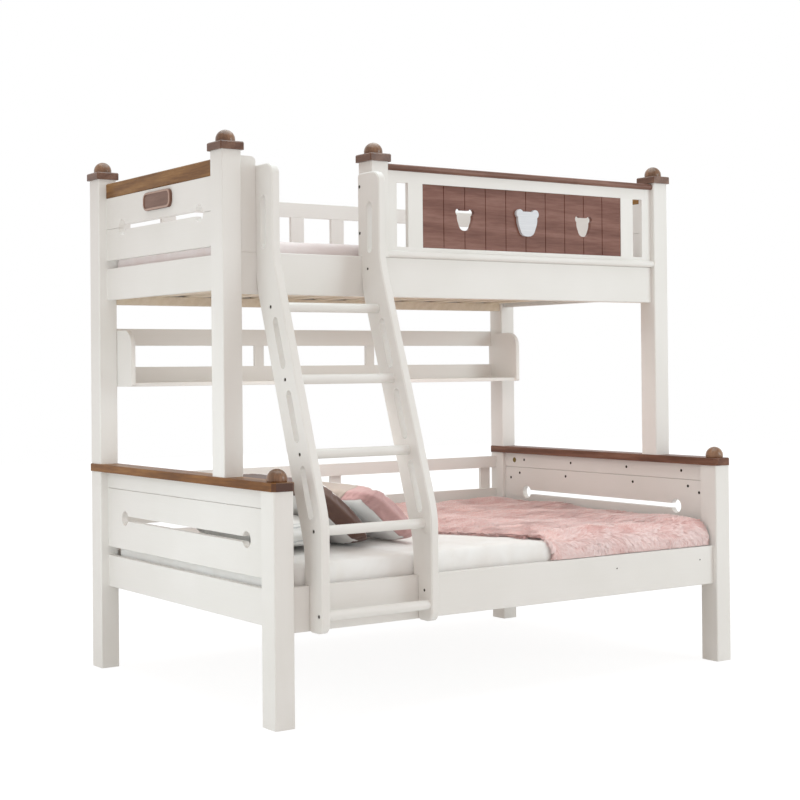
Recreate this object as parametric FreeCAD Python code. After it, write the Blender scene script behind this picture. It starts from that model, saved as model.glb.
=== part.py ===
import FreeCAD
import Part
import math
import os

# Bunk bed with a wide lower bunk, a narrower upper bunk, a leaning ladder,
# a rear shelf, two mattresses, three cushions and a fur throw.
# While it is being drawn, X runs from the outer face of the left posts, Y from the
# front face of the lower front posts to the back, and Z up from the floor.
# At the end everything moves so that the origin is under the middle of the part.

V = FreeCAD.Vector

# Overall sizes
LENGTH = 2122.0
LOWER_DEPTH = 1467.0
UPPER_DEPTH = 1127.0

# Clearances, and the distance under which two points count as one
FIT = 0.3
OVERRUN = 5.0
TOUCH = 0.01
PARALLEL_SHARE = 0.99

# Posts
POST_W = 76.0
POST_D = 88.0
POST_EDGE = 3.0
LOWER_POST_H = 786.0
UPPER_POST_H = 1142.0

# Brown cap planks on the lower posts
CAP_T = 30.0
CAP_OVER = 6.0
CAP_CORNER = 12.0
CAP_EDGE = 3.0

# Cap blocks and turned balls
BLOCK_T = 29.0
BLOCK_OVER = 9.0
BLOCK_EDGE = 4.0
BALL_R = 35.0
BALL_CENTRE_H = 9.0

# Boards of the bed ends: an end rail, then a gap, then boards up to the top board
BOARD_T = 25.0
BOARD_INSET = 33.0
BOARD_EDGE = 1.5
BOARD_SEAM = 1.0
END_RAIL_H = 125.0
LOWER_END_RAIL_UP = 15.0
LOWER_END_GAP = 34.0
LOWER_TOP_BOARD_H = 65.0
UPPER_END_RAIL_UP = 17.0
UPPER_END_GAP = 32.0
UPPER_TOP_BOARD_H = 58.0
UPPER_TOP_BOARD_DROP = 19.0

# Slots with round ends in the bed ends
SLOT_BAR = 20.0
LOWER_SLOT_R = 29.0
LOWER_SLOT_UP = 5.0
LOWER_SLOT_MARGIN = 156.5
UPPER_SLOT_R = 32.0
UPPER_SLOT_MARGIN = 148.5

# Bare name plaque
PLAQUE_W = 227.0
PLAQUE_H = 69.0
PLAQUE_T = 13.0
PLAQUE_R = 26.0
PLAQUE_BORDER = 8.0
PLAQUE_RECESS = 3.0
PLAQUE_DROP = 126.0

# Side rails
RAIL_T = 25.0
RAIL_INSET = 20.0
RAIL_EDGE = 2.0
LOWER_RAIL_Z = 312.0
LOWER_RAIL_H = 152.0
UPPER_RAIL_DROP = 354.0
UPPER_RAIL_H = 148.0

# Cleats and laths
CLEAT_T = 30.0
LOWER_CLEAT_UP = 29.0
LOWER_CLEAT_H = 40.0
UPPER_CLEAT_H = 35.0
LATH_W = 70.0
LATH_T = 18.0
LATH_COUNT = 13
LATH_GAP = 4.0

# Front guard of the upper bunk
SHORT_BOARD_W = 68.4
GUARD_TAIL_GAP = 2.5
GUARD_BAR_H = 27.0
GUARD_BAR_OVER = 17.0
GUARD_LIP_H = 14.0
GUARD_BAR_NOSE = 11.0
GUARD_T = 18.0
GUARD_RAIL_H = 43.0
GUARD_CAP_H = 24.0
GUARD_CAP_DROP = 4.0
GUARD_CAP_W = 44.0
GUARD_CAP_FRONT = 12.0
GUARD_CAP_NOSE = 10.0
END_SLAT_W = 50.0
SLAT_GAP = 52.0
INNER_SLAT_W = 67.0
PANEL_T = 15.0
PANEL_BOARDS = 10
GROOVE_W = 4.0
GROOVE_DEPTH = 4.0
SHORT_BOARD_DROP = 16.0
SHORT_BOARD_R = 18.0

# Bear head shapes of the guard panel
BEAR_W = 90.0
BEAR_H = 85.0
BEAR_DOWN = 5.5
BADGE_W = 113.0
BADGE_H = 106.0
BADGE_T = 12.0

# Rear guard of the upper bunk
BACK_RAIL_DROP = 42.0
BACK_RAIL_H = 64.0
BACK_SLAT_W = 64.0
BACK_SLAT_MARGIN = 21.5
BACK_SLAT_COUNT = 10

# Rear guard of the lower bunk
LOW_GUARD_RAIL_H = 53.0
LOW_GUARD_DROP = 19.0
BATTEN_W = 54.0
BATTEN_T = 14.0
BATTEN_UP = 18.0
INNER_BATTEN = 94.0
OUTER_BATTEN_GAP = 25.0

# Shelf between the rear posts
SHELF_DROP = 331.0
SHELF_T = 16.0
SHELF_FRONT = 120.0
BRACKET_T = 18.0
BRACKET_FRONT = 132.0
BRACKET_H = 225.0
BRACKET_R = 62.0
BRACKET_FOOT_R = 10.0
SHELF_SLAT_T = 15.0
SHELF_TOP_UP = 166.0
SHELF_TOP_H = 69.0
SHELF_LOW_H = 63.0
SHELF_BATTEN_IN = 676.0
SHELF_BATTEN_W = 44.0
SHELF_BATTEN_T = 14.0

# Ladder stiles
STILE_T = 33.0
STILE_TOP_DROP = 47.0
STILE_UPPER_W = 138.0
STILE_W = 137.0
STILE_LOWER_W = 109.0
STILE_LEAVES_UP = 40.0
STILE_LANDS_UP = 118.0
STILE_DROP = 3.0
STILE_TOP_R = 41.0
STILE_BACK_R = 12.0
STILE_FOOT_R = 34.0
STILE_BEND_R = 300.0
STILE_EDGE = 4.5

# Hand holds in the stiles
HOLD_L = 188.0
HOLD_W = 33.0
HOLD_FORWARD = 8.0
UPPER_HOLD_UP = 103.0

# Rungs, set from the middle of the stile by shares of its width
RUNG_D = 34.0
RUNG_SPAN = 412.0
RUNG_TOP_DOWN = 49.0
RUNG_PITCH = 253.0
RUNG_COUNT = 5
RUNG_LOW_UP = 56.0
RUNG_FORWARD_SHARES = (-0.04, 0.02, 0.06, 0.10, 0.14)

# Recesses for the bolt heads of the rungs and of the boards beside the ladder
RECESS_D = 14.0
RECESS_DEPTH = 9.0
TONGUE_BOLT_DROPS = (50.0, 222.0)

# Mattresses
LOWER_MATTRESS_H = 152.0
LOWER_MATTRESS_SIDE_GAP = 8.5
UPPER_MATTRESS_H = 140.0
UPPER_MATTRESS_SIDE_GAP = 4.5
MATTRESS_END_GAP = 6.0
MATTRESS_CORNER_EXTRA = 16.0
MATTRESS_ROUND = 42.0
ROLL_STEPS = 4

# Cushions at the head end of the lower bunk: one lies flat, two lean over it
CUSHION_L = 690.0
CUSHION_T = 122.0
CUSHION_PINCH = 16.0
CUSHION_FRONT = 150.0
CUSHION_GAP = 4.0
CUSHION_STEP_GAP = 16.0
CUSHION_STEP_SHARE = 1.42
CUSHION_LEAN = 42.0
FLAT_CUSHION_W = 305.0
BROWN_CUSHION_W = 400.0
PINK_CUSHION_W = 350.0

# Fur throw over the foot half of the lower mattress
THROW_START = 920.0
THROW_T = 24.0
THROW_HEM_GAP = 9.6
THROW_POST_GAP = 6.0
THROW_BACK_GAP = 40.0
THROW_CUT_X = 255.0
THROW_CUT_Y = 400.0
THROW_FOLD = 7.0
THROW_FOLDS = 4

# Places that follow from the sizes above
UPPER_FRONT = LOWER_DEPTH - UPPER_DEPTH
RIGHT_POST_X = LENGTH - POST_W
REAR_POST_Y = LOWER_DEPTH - POST_D
CAP_TOP = LOWER_POST_H + CAP_T
UPPER_POST_TOP = CAP_TOP + UPPER_POST_H
LOWER_RAIL_TOP = LOWER_RAIL_Z + LOWER_RAIL_H
UPPER_RAIL_TOP = UPPER_POST_TOP - UPPER_RAIL_DROP
UPPER_RAIL_Z = UPPER_RAIL_TOP - UPPER_RAIL_H
REAR_RAIL_Y = LOWER_DEPTH - RAIL_INSET - RAIL_T
UPPER_RAIL_Y = UPPER_FRONT + RAIL_INSET
BOARD_INNER = BOARD_INSET + BOARD_T
GUARD_BAR_TOP = UPPER_RAIL_TOP + GUARD_BAR_H + GUARD_LIP_H
GUARD_CAP_Z = UPPER_POST_TOP - GUARD_CAP_DROP - GUARD_CAP_H
GUARD_RAIL_Z = GUARD_CAP_Z - GUARD_RAIL_H
BEAR_Z = (GUARD_BAR_TOP + GUARD_RAIL_Z) / 2 - BEAR_DOWN
BACK_RAIL_Z = UPPER_POST_TOP - BACK_RAIL_DROP - BACK_RAIL_H
SHORT_BOARD_TOP = UPPER_POST_TOP - SHORT_BOARD_DROP
SHELF_Z = UPPER_RAIL_Z - SHELF_DROP
LEFT_STILE_X = POST_W + SHORT_BOARD_W + FIT
RIGHT_STILE_X = LEFT_STILE_X + STILE_T + RUNG_SPAN
GUARD_POST_X = RIGHT_STILE_X + STILE_T + FIT
STILE_TOP = UPPER_POST_TOP - STILE_TOP_DROP
STILE_FRONT_LOW = RAIL_INSET + RAIL_T - STILE_LOWER_W
STILE_LEAVES_Z = UPPER_RAIL_Z + STILE_LEAVES_UP
STILE_LANDS_Z = LOWER_RAIL_TOP + STILE_LANDS_UP
LEAN = math.atan((UPPER_RAIL_Y - FIT - RAIL_INSET - RAIL_T) / (STILE_LEAVES_Z - STILE_LANDS_Z))
UPPER_HOLD_Z = UPPER_RAIL_TOP + UPPER_HOLD_UP
RUNG_TOP_Z = UPPER_RAIL_Z - RUNG_TOP_DOWN
RUNG_LOW_Z = LOWER_RAIL_Z + RUNG_LOW_UP
LOWER_CLEAT_Z = LOWER_RAIL_Z + LOWER_CLEAT_UP
LOWER_LATH_Z = LOWER_CLEAT_Z + LOWER_CLEAT_H
UPPER_LATH_Z = UPPER_RAIL_Z + UPPER_CLEAT_H
LOWER_BED_Z = LOWER_LATH_Z + LATH_T + FIT
UPPER_BED_Z = UPPER_LATH_Z + LATH_T + FIT
LOWER_BED_TOP = LOWER_BED_Z + LOWER_MATTRESS_H
LOWER_BED_FRONT = RAIL_INSET + RAIL_T + LOWER_MATTRESS_SIDE_GAP
UPPER_BED_FRONT = UPPER_FRONT + POST_D + UPPER_MATTRESS_SIDE_GAP
MATTRESS_CORNER = (POST_W + POST_D) / 2 + MATTRESS_CORNER_EXTRA
MIDDLE = V(LENGTH / 2, (STILE_FRONT_LOW + LOWER_DEPTH + BLOCK_OVER) / 2, 0)


def box(x, y, z, dx, dy, dz):
    """Box from its low corner and its three sizes."""
    return Part.makeBox(dx, dy, dz, V(x, y, z))


def edges_along(shape, axis, low=None, high=None):
    """Straight edges parallel to an axis, with their middles between two corners."""
    found = []
    for edge in shape.Edges:
        if len(edge.Vertexes) < 2 or not isinstance(edge.Curve, Part.Line):
            continue
        run = edge.Vertexes[-1].Point.sub(edge.Vertexes[0].Point)
        if run.Length < TOUCH or abs(run.normalize().dot(axis)) < PARALLEL_SHARE:
            continue
        middle = edge.valueAt((edge.FirstParameter + edge.LastParameter) / 2)
        if low and (middle.x < low.x or middle.y < low.y or middle.z < low.z):
            continue
        if high and (middle.x > high.x or middle.y > high.y or middle.z > high.z):
            continue
        found.append(edge)
    return found


AXIS_X = V(1, 0, 0)
AXIS_Y = V(0, 1, 0)
AXIS_Z = V(0, 0, 1)


def eased(shape, width, axis):
    """Shape with its long edges along one axis taken off at 45 degrees."""
    return shape.makeChamfer(width, edges_along(shape, axis))


def rounded_wire(points):
    """Closed wire of lines and tangent arcs through (vector, radius) corners."""
    count = len(points)
    ends = []
    parts = []
    for i in range(count):
        here, radius = points[i]
        if radius == 0:
            ends.append((here, here))
            continue
        to_last = points[i - 1][0].sub(here).normalize()
        to_next = points[(i + 1) % count][0].sub(here).normalize()
        half = math.acos(max(-1, min(1, to_last.dot(to_next)))) / 2
        reach = radius / math.tan(half)
        start = here.add(V(to_last).multiply(reach))
        stop = here.add(V(to_next).multiply(reach))
        inward = to_last.add(to_next).normalize()
        top = here.add(inward.multiply(radius / math.sin(half) - radius))
        parts.append(Part.Arc(start, top, stop).toShape())
        ends.append((start, stop))
    for i in range(count):
        first = ends[i][1]
        second = ends[(i + 1) % count][0]
        if first.sub(second).Length > TOUCH:
            parts.append(Part.makeLine(first, second))
    return Part.Wire(Part.__sortEdges__(parts))


def prism(points, along):
    """Solid from rounded corners pushed along a vector."""
    return Part.Face(rounded_wire(points)).extrude(along)


def rod(radius, length, start, axis):
    return Part.makeCylinder(radius, length, start, axis)


def group(solids):
    return Part.makeCompound(solids)


def flat_faced(solid):
    """The same solid with a true plane for each of its flat lofted faces."""
    faces = []
    for face in solid.Faces:
        points = [vertex.Point for vertex in face.OuterWire.OrderedVertexes]
        faces.append(Part.Face(Part.makePolygon(points + points[:1])))
    return Part.Solid(Part.Shell(faces))


def mirrored_end(shape):
    """The same piece at the right end of the bed."""
    return shape.mirror(V(LENGTH / 2, 0, 0), AXIS_X)


# Posts, caps and balls


def post(x, y, z, height):
    return eased(box(x, y, z, POST_W, POST_D, height), POST_EDGE, AXIS_Z)


def posts():
    upper_h = UPPER_POST_TOP - CAP_TOP
    guard_h = UPPER_POST_TOP - UPPER_RAIL_TOP
    made = {}
    for side, x in (("left", 0), ("right", RIGHT_POST_X)):
        made["lower_post_front_" + side] = post(x, 0, 0, LOWER_POST_H)
        made["lower_post_rear_" + side] = post(x, REAR_POST_Y, 0, LOWER_POST_H)
        made["upper_post_front_" + side] = post(x, UPPER_FRONT, CAP_TOP, upper_h)
        made["upper_post_rear_" + side] = post(x, REAR_POST_Y, CAP_TOP, upper_h)
    made["guard_post"] = guard_post(guard_h)
    return made


def guard_post(height):
    """Short post on the upper rail, with a tail down the inner face of the rail."""
    above = post(GUARD_POST_X, UPPER_FRONT, UPPER_RAIL_TOP, height)
    tail_z = UPPER_LATH_Z + LATH_T + GUARD_TAIL_GAP
    tail = post(GUARD_POST_X, UPPER_FRONT, tail_z, UPPER_RAIL_TOP + height / 2 - tail_z)
    inner_y = UPPER_RAIL_Y + RAIL_T
    keep = box(GUARD_POST_X, inner_y, tail_z, POST_W, POST_D, height + UPPER_RAIL_H)
    return above.fuse(tail.common(keep)).removeSplitter()


def cap_plank():
    """Brown plank over one bed end, with its four corners cut off."""
    x0, x1 = -CAP_OVER, POST_W + CAP_OVER
    y0, y1 = -CAP_OVER, LOWER_DEPTH + CAP_OVER
    c = CAP_CORNER
    corners = [(x0 + c, y0), (x1 - c, y0), (x1, y0 + c), (x1, y1 - c),
               (x1 - c, y1), (x0 + c, y1), (x0, y1 - c), (x0, y0 + c)]
    outline = [(V(x, y, LOWER_POST_H), 0) for x, y in corners]
    plank = prism(outline, V(0, 0, CAP_T))
    top = [e for e in plank.Edges if e.CenterOfMass.z > LOWER_POST_H + CAP_T - TOUCH]
    return plank.makeChamfer(CAP_EDGE, top)


def post_centres():
    rear = REAR_POST_Y + POST_D / 2
    front = UPPER_FRONT + POST_D / 2
    half = POST_W / 2
    return [(half, front), (RIGHT_POST_X + half, front), (half, rear),
            (RIGHT_POST_X + half, rear), (GUARD_POST_X + half, front)]


def cap_block(x, y):
    width = POST_W + 2 * BLOCK_OVER
    depth = POST_D + 2 * BLOCK_OVER
    block = box(x - width / 2, y - depth / 2, UPPER_POST_TOP, width, depth, BLOCK_T)
    upright = edges_along(block, AXIS_Z)
    top = [e for e in block.Edges if e.CenterOfMass.z > UPPER_POST_TOP + BLOCK_T - TOUCH]
    return block.makeChamfer(BLOCK_EDGE, upright + top)


def ball(x, y, z):
    """Turned ball with a flat underside standing on z."""
    sphere = Part.makeSphere(BALL_R, V(x, y, z + BALL_CENTRE_H))
    keep = box(x - BALL_R, y - BALL_R, z, 2 * BALL_R, 2 * BALL_R, 2 * BALL_R)
    return sphere.common(keep)


def caps_and_balls():
    plank = cap_plank()
    tops = post_centres()
    block_top = UPPER_POST_TOP + BLOCK_T
    balls = [ball(x, y, block_top) for x, y in tops]
    for x in (POST_W / 2, RIGHT_POST_X + POST_W / 2):
        balls.append(ball(x, POST_D / 2, CAP_TOP))
    return {
        "cap_left": plank,
        "cap_right": mirrored_end(plank),
        "cap_blocks": group([cap_block(x, y) for x, y in tops]),
        "cap_balls": group(balls),
    }


# Bed ends


def end_board(front, z, height, edge=BOARD_EDGE):
    """One board between the left posts, from a front post face y to the rear post."""
    board = box(BOARD_INSET, front, z, BOARD_T, REAR_POST_Y - front, height)
    return eased(board, edge, AXIS_Y)


def bone_cutter(front, z, margin, radius):
    """Slot with a round opening at both ends, cut right through a bed end's boards."""
    x = BOARD_INSET - OVERRUN
    through = BOARD_T + 2 * OVERRUN
    near = front + margin
    far = REAR_POST_Y - margin
    cutter = box(x, near, z - SLOT_BAR / 2, through, far - near, SLOT_BAR)
    for centre in (near, far):
        cutter = cutter.fuse(rod(radius, through, V(x, centre, z), AXIS_X))
    return cutter


def lower_end():
    front = POST_D
    rail_z = LOWER_RAIL_Z + LOWER_END_RAIL_UP
    panel_z = rail_z + END_RAIL_H + LOWER_END_GAP
    top_z = LOWER_POST_H - LOWER_TOP_BOARD_H
    panel_h = top_z - BOARD_SEAM - panel_z
    slot_z = panel_z + panel_h / 2 + LOWER_SLOT_UP
    slot = bone_cutter(front, slot_z, LOWER_SLOT_MARGIN, LOWER_SLOT_R)
    return {
        "top_board": end_board(front, top_z, LOWER_TOP_BOARD_H),
        "slotted_panel": end_board(front, panel_z, panel_h).cut(slot),
        "end_rail": end_board(front, rail_z, END_RAIL_H),
    }


def upper_end():
    front = UPPER_FRONT + POST_D
    rail_z = UPPER_RAIL_Z + UPPER_END_RAIL_UP
    low_z = rail_z + END_RAIL_H + UPPER_END_GAP
    top_z = UPPER_POST_TOP - UPPER_TOP_BOARD_DROP - UPPER_TOP_BOARD_H
    board_h = (top_z - low_z - 2 * BOARD_SEAM) / 2
    high_z = low_z + board_h + BOARD_SEAM
    slot = bone_cutter(front, high_z - BOARD_SEAM / 2, UPPER_SLOT_MARGIN, UPPER_SLOT_R)
    boards = [end_board(front, z, board_h).cut(slot) for z in (low_z, high_z)]
    return {
        "top_board": end_board(front, top_z, UPPER_TOP_BOARD_H, 2 * BOARD_EDGE),
        "slotted_boards": group(boards),
        "end_rail": end_board(front, rail_z, END_RAIL_H),
    }


def plaque():
    """Bare plaque with a raised border on the outside of the upper head end."""
    x = BOARD_INSET - FIT
    y = (UPPER_FRONT + LOWER_DEPTH) / 2
    z = UPPER_POST_TOP - PLAQUE_DROP

    def outline(x, margin):
        half_w = PLAQUE_W / 2 - margin
        half_h = PLAQUE_H / 2 - margin
        sides = ((-1, -1), (1, -1), (1, 1), (-1, 1))
        return [(V(x, y + a * half_w, z + b * half_h), PLAQUE_R - margin) for a, b in sides]

    body = prism(outline(x, 0), V(-PLAQUE_T, 0, 0))
    outer = [e for e in body.Edges if e.CenterOfMass.x < x - PLAQUE_T + TOUCH]
    body = body.makeChamfer(PLAQUE_RECESS, outer)
    recess = prism(outline(x - PLAQUE_T - OVERRUN, PLAQUE_BORDER),
                   V(PLAQUE_RECESS + OVERRUN, 0, 0))
    return body.cut(recess)


# Side rails, cleats and laths


def side_rail(y, z, height):
    span = RIGHT_POST_X - POST_W
    return eased(box(POST_W, y, z, span, RAIL_T, height), RAIL_EDGE, AXIS_X)


def side_rails():
    return {
        "lower_rail_front": side_rail(RAIL_INSET, LOWER_RAIL_Z, LOWER_RAIL_H),
        "lower_rail_rear": side_rail(REAR_RAIL_Y, LOWER_RAIL_Z, LOWER_RAIL_H),
        "upper_rail_front": side_rail(UPPER_RAIL_Y, UPPER_RAIL_Z, UPPER_RAIL_H),
        "upper_rail_rear": side_rail(REAR_RAIL_Y, UPPER_RAIL_Z, UPPER_RAIL_H),
    }


def cleats():
    span = RIGHT_POST_X - POST_W
    made = []
    for front, z, height in ((RAIL_INSET, LOWER_CLEAT_Z, LOWER_CLEAT_H),
                             (UPPER_RAIL_Y, UPPER_RAIL_Z, UPPER_CLEAT_H)):
        for y in (front + RAIL_T, REAR_RAIL_Y - CLEAT_T):
            made.append(box(POST_W, y, z, span, CLEAT_T, height))
    return group(made)


def laths(front, z):
    """Row of laths across one bunk, standing on the two cleats."""
    y = front + RAIL_T + LATH_GAP
    depth = REAR_RAIL_Y - LATH_GAP - y
    first = POST_W + LATH_GAP
    last = LENGTH - first - LATH_W
    pitch = (last - first) / (LATH_COUNT - 1)
    return group([box(first + i * pitch, y, z, LATH_W, depth, LATH_T)
                  for i in range(LATH_COUNT)])


# Front guard


BEAR_HEIGHT_SHARES = (0.42, 0, -0.5)
BEAR_HALF_SHARES = (0.43, 0.43, 0.24)
BEAR_ROUND_SHARES = (0.22, 0.6, 0.26)
BEAR_EAR_SHARES = (0.155, 0.345, 0.155)


def bear_head(width, height, x, y, z, depth):
    """Plain bear head outline in XZ: a head narrowing to the chin, and two ears."""
    right = []
    left = []
    for up, half, turn in zip(BEAR_HEIGHT_SHARES, BEAR_HALF_SHARES, BEAR_ROUND_SHARES):
        right.append((V(x + width * half, y, z + height * up), width * turn))
        left.append((V(x - width * half, y, z + height * up), width * turn))
    shape = prism(right + left[::-1], V(0, depth, 0))
    ear_r, ear_x, ear_drop = (width * share for share in BEAR_EAR_SHARES)
    ears = [rod(ear_r, depth, V(x + side * ear_x, y, z + height / 2 - ear_drop), AXIS_Y)
            for side in (-1, 1)]
    return shape.fuse(ears).removeSplitter()


def guard_panel_span():
    left = GUARD_POST_X + POST_W + END_SLAT_W + SLAT_GAP + INNER_SLAT_W
    right = RIGHT_POST_X - END_SLAT_W - SLAT_GAP - INNER_SLAT_W
    return left, right


def guard_panel():
    """Brown panel with upright grooves and two bear head cut-outs."""
    left, right = guard_panel_span()
    board = (right - left) / PANEL_BOARDS
    height = GUARD_RAIL_Z - GUARD_BAR_TOP
    y = UPPER_RAIL_Y + GUARD_T - PANEL_T
    panel = box(left, y, GUARD_BAR_TOP, right - left, PANEL_T, height)
    cutters = []
    for i in range(1, PANEL_BOARDS):
        x = left + i * board
        notch = [(V(x - GROOVE_W / 2, y - FIT, GUARD_BAR_TOP - OVERRUN), 0),
                 (V(x + GROOVE_W / 2, y - FIT, GUARD_BAR_TOP - OVERRUN), 0),
                 (V(x, y + GROOVE_DEPTH, GUARD_BAR_TOP - OVERRUN), 0)]
        cutters.append(prism(notch, V(0, 0, height + 2 * OVERRUN)))
    for x in (left + 2 * board, right - 2 * board):
        cutters.append(bear_head(BEAR_W, BEAR_H, x, y - OVERRUN, BEAR_Z,
                                 PANEL_T + 2 * OVERRUN))
    return panel.cut(cutters)


def bear_badge():
    left, right = guard_panel_span()
    y = UPPER_RAIL_Y + GUARD_T - PANEL_T - FIT - BADGE_T
    return bear_head(BADGE_W, BADGE_H, (left + right) / 2, y, BEAR_Z, BADGE_T)


def guard_slats():
    """Four slats between the guard bar and the guard rail."""
    left, right = guard_panel_span()
    height = GUARD_RAIL_Z - GUARD_BAR_TOP
    spans = ((GUARD_POST_X + POST_W, END_SLAT_W), (left - INNER_SLAT_W, INNER_SLAT_W),
             (right, INNER_SLAT_W), (RIGHT_POST_X - END_SLAT_W, END_SLAT_W))
    return group([box(x, UPPER_RAIL_Y, GUARD_BAR_TOP, width, GUARD_T, height)
                  for x, width in spans])


def nosed_bar(x, y, z, length, width, height, radius):
    """Bar along X with its two front edges well rounded."""
    bar = box(x, y, z, length, width, height)
    front = edges_along(bar, AXIS_X, high=V(x + length, y + TOUCH, z + height))
    return bar.makeFillet(radius, front)


def short_board():
    """Short upright board between the left post and the ladder."""
    board = box(POST_W, UPPER_RAIL_Y, UPPER_RAIL_TOP, SHORT_BOARD_W, RAIL_T,
                SHORT_BOARD_TOP - UPPER_RAIL_TOP)
    corner_at = V(POST_W + SHORT_BOARD_W - TOUCH, 0, SHORT_BOARD_TOP - TOUCH)
    return board.makeFillet(SHORT_BOARD_R, edges_along(board, AXIS_Y, low=corner_at))


def front_guard():
    x = GUARD_POST_X + POST_W
    span = RIGHT_POST_X - x
    bar = nosed_bar(x, UPPER_RAIL_Y - GUARD_BAR_OVER, UPPER_RAIL_TOP, span,
                    GUARD_BAR_OVER + RAIL_T, GUARD_BAR_H, GUARD_BAR_NOSE)
    lip = box(x, UPPER_RAIL_Y, UPPER_RAIL_TOP, span, GUARD_T, GUARD_BAR_H + GUARD_LIP_H)
    cap_y = UPPER_RAIL_Y - GUARD_CAP_FRONT
    return {
        "guard_bar": bar.fuse(lip).removeSplitter(),
        "guard_rail": box(x, UPPER_RAIL_Y, GUARD_RAIL_Z, span, GUARD_T, GUARD_RAIL_H),
        "guard_cap": nosed_bar(x, cap_y, GUARD_CAP_Z, span, GUARD_CAP_W, GUARD_CAP_H,
                               GUARD_CAP_NOSE),
        "guard_slats": guard_slats(),
        "guard_panel": guard_panel(),
        "bear_badge": bear_badge(),
        "short_board": short_board(),
    }


# Rear guards


def upper_back_slats():
    """Row of slats between the rear rail and the rear guard rail, evenly spaced."""
    first = POST_W + BACK_SLAT_MARGIN
    last = LENGTH - first - BACK_SLAT_W
    pitch = (last - first) / (BACK_SLAT_COUNT - 1)
    y = REAR_RAIL_Y + RAIL_T - GUARD_T
    return group([box(first + i * pitch, y, UPPER_RAIL_TOP, BACK_SLAT_W, GUARD_T,
                      BACK_RAIL_Z - UPPER_RAIL_TOP) for i in range(BACK_SLAT_COUNT)])


def lower_back_guard():
    """Two thin rails above the rear rail, screwed to four battens behind it."""
    face = REAR_RAIL_Y + RAIL_T
    high_z = LOWER_POST_H - LOW_GUARD_DROP - LOW_GUARD_RAIL_H
    low_z = (LOWER_RAIL_TOP + high_z - LOW_GUARD_RAIL_H) / 2
    span = RIGHT_POST_X - POST_W
    pieces = [box(POST_W, face - GUARD_T, z, span, GUARD_T, LOW_GUARD_RAIL_H)
              for z in (low_z, high_z)]
    foot = LOWER_RAIL_Z + BATTEN_UP
    outer = LENGTH / 2 - POST_W - OUTER_BATTEN_GAP - BATTEN_W / 2
    for offset in (-outer, -INNER_BATTEN, INNER_BATTEN, outer):
        x = LENGTH / 2 + offset - BATTEN_W / 2
        pieces.append(box(x, face, foot, BATTEN_W, BATTEN_T, high_z + LOW_GUARD_RAIL_H - foot))
    return group(pieces)


def rear_guards():
    y = REAR_RAIL_Y + RAIL_T - GUARD_T
    rail = box(POST_W, y, BACK_RAIL_Z, RIGHT_POST_X - POST_W, GUARD_T, BACK_RAIL_H)
    return {
        "upper_back_rail": eased(rail, BOARD_EDGE, AXIS_X),
        "upper_back_slats": upper_back_slats(),
        "lower_back_guard": lower_back_guard(),
    }


# Shelf


def shelf():
    back = LOWER_DEPTH - SHELF_BATTEN_T
    slat_y = back - SHELF_SLAT_T
    span = RIGHT_POST_X - POST_W - 2 * BRACKET_T
    left = POST_W + BRACKET_T
    front = REAR_POST_Y - SHELF_FRONT
    nose = REAR_POST_Y - BRACKET_FRONT
    top = SHELF_Z + BRACKET_H
    outline = [(V(POST_W, nose, SHELF_Z), BRACKET_FOOT_R), (V(POST_W, back, SHELF_Z), 0),
               (V(POST_W, back, top), 0), (V(POST_W, nose, top), BRACKET_R)]
    bracket = prism(outline, V(BRACKET_T, 0, 0))
    board = box(left, front, SHELF_Z, span, back - front, SHELF_T)
    low_z = SHELF_Z + SHELF_T
    high_z = SHELF_Z + SHELF_TOP_UP
    rear = [box(left, slat_y, low_z, span, SHELF_SLAT_T, SHELF_LOW_H),
            box(left, slat_y, high_z, span, SHELF_SLAT_T, SHELF_TOP_H)]
    batten_x = POST_W + SHELF_BATTEN_IN
    for x in (batten_x, LENGTH - batten_x - SHELF_BATTEN_W):
        rear.append(box(x, back, low_z, SHELF_BATTEN_W, SHELF_BATTEN_T,
                        high_z + SHELF_TOP_H - low_z))
    return {
        "shelf_board": eased(board, BOARD_EDGE, AXIS_X),
        "shelf_brackets": group([bracket, mirrored_end(bracket)]),
        "shelf_back": group(rear),
    }


# Ladder


def stile_back_y(z):
    """Back edge of the leaning run at height z."""
    return UPPER_RAIL_Y - FIT - (STILE_LEAVES_Z - z) * math.tan(LEAN)


def stile_z_at(y, behind):
    """Height where the back edge, moved forward by behind, reaches y."""
    return STILE_LEAVES_Z - (UPPER_RAIL_Y - FIT - behind - y) / math.tan(LEAN)


def stile_middle_y(z):
    """Middle of the stile at height z, held inside its upright ends."""
    across = STILE_W / math.cos(LEAN)
    back = min(UPPER_RAIL_Y + RAIL_T, max(RAIL_INSET + RAIL_T, stile_back_y(z)))
    if z < LOWER_RAIL_TOP:
        back = RAIL_INSET
    front = max(STILE_FRONT_LOW, stile_back_y(z) - across)
    front = min(front, UPPER_RAIL_Y + RAIL_T - STILE_UPPER_W)
    return (back + front) / 2


def rungs_at():
    """Centre (y, z) of each rung, from the top one down."""
    places = []
    for i in range(RUNG_COUNT):
        z = RUNG_TOP_Z - i * RUNG_PITCH
        if i == RUNG_COUNT - 1:
            z = RUNG_LOW_Z
        y = stile_middle_y(z) - RUNG_FORWARD_SHARES[i] * STILE_W
        places.append((y, z))
    return places


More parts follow.
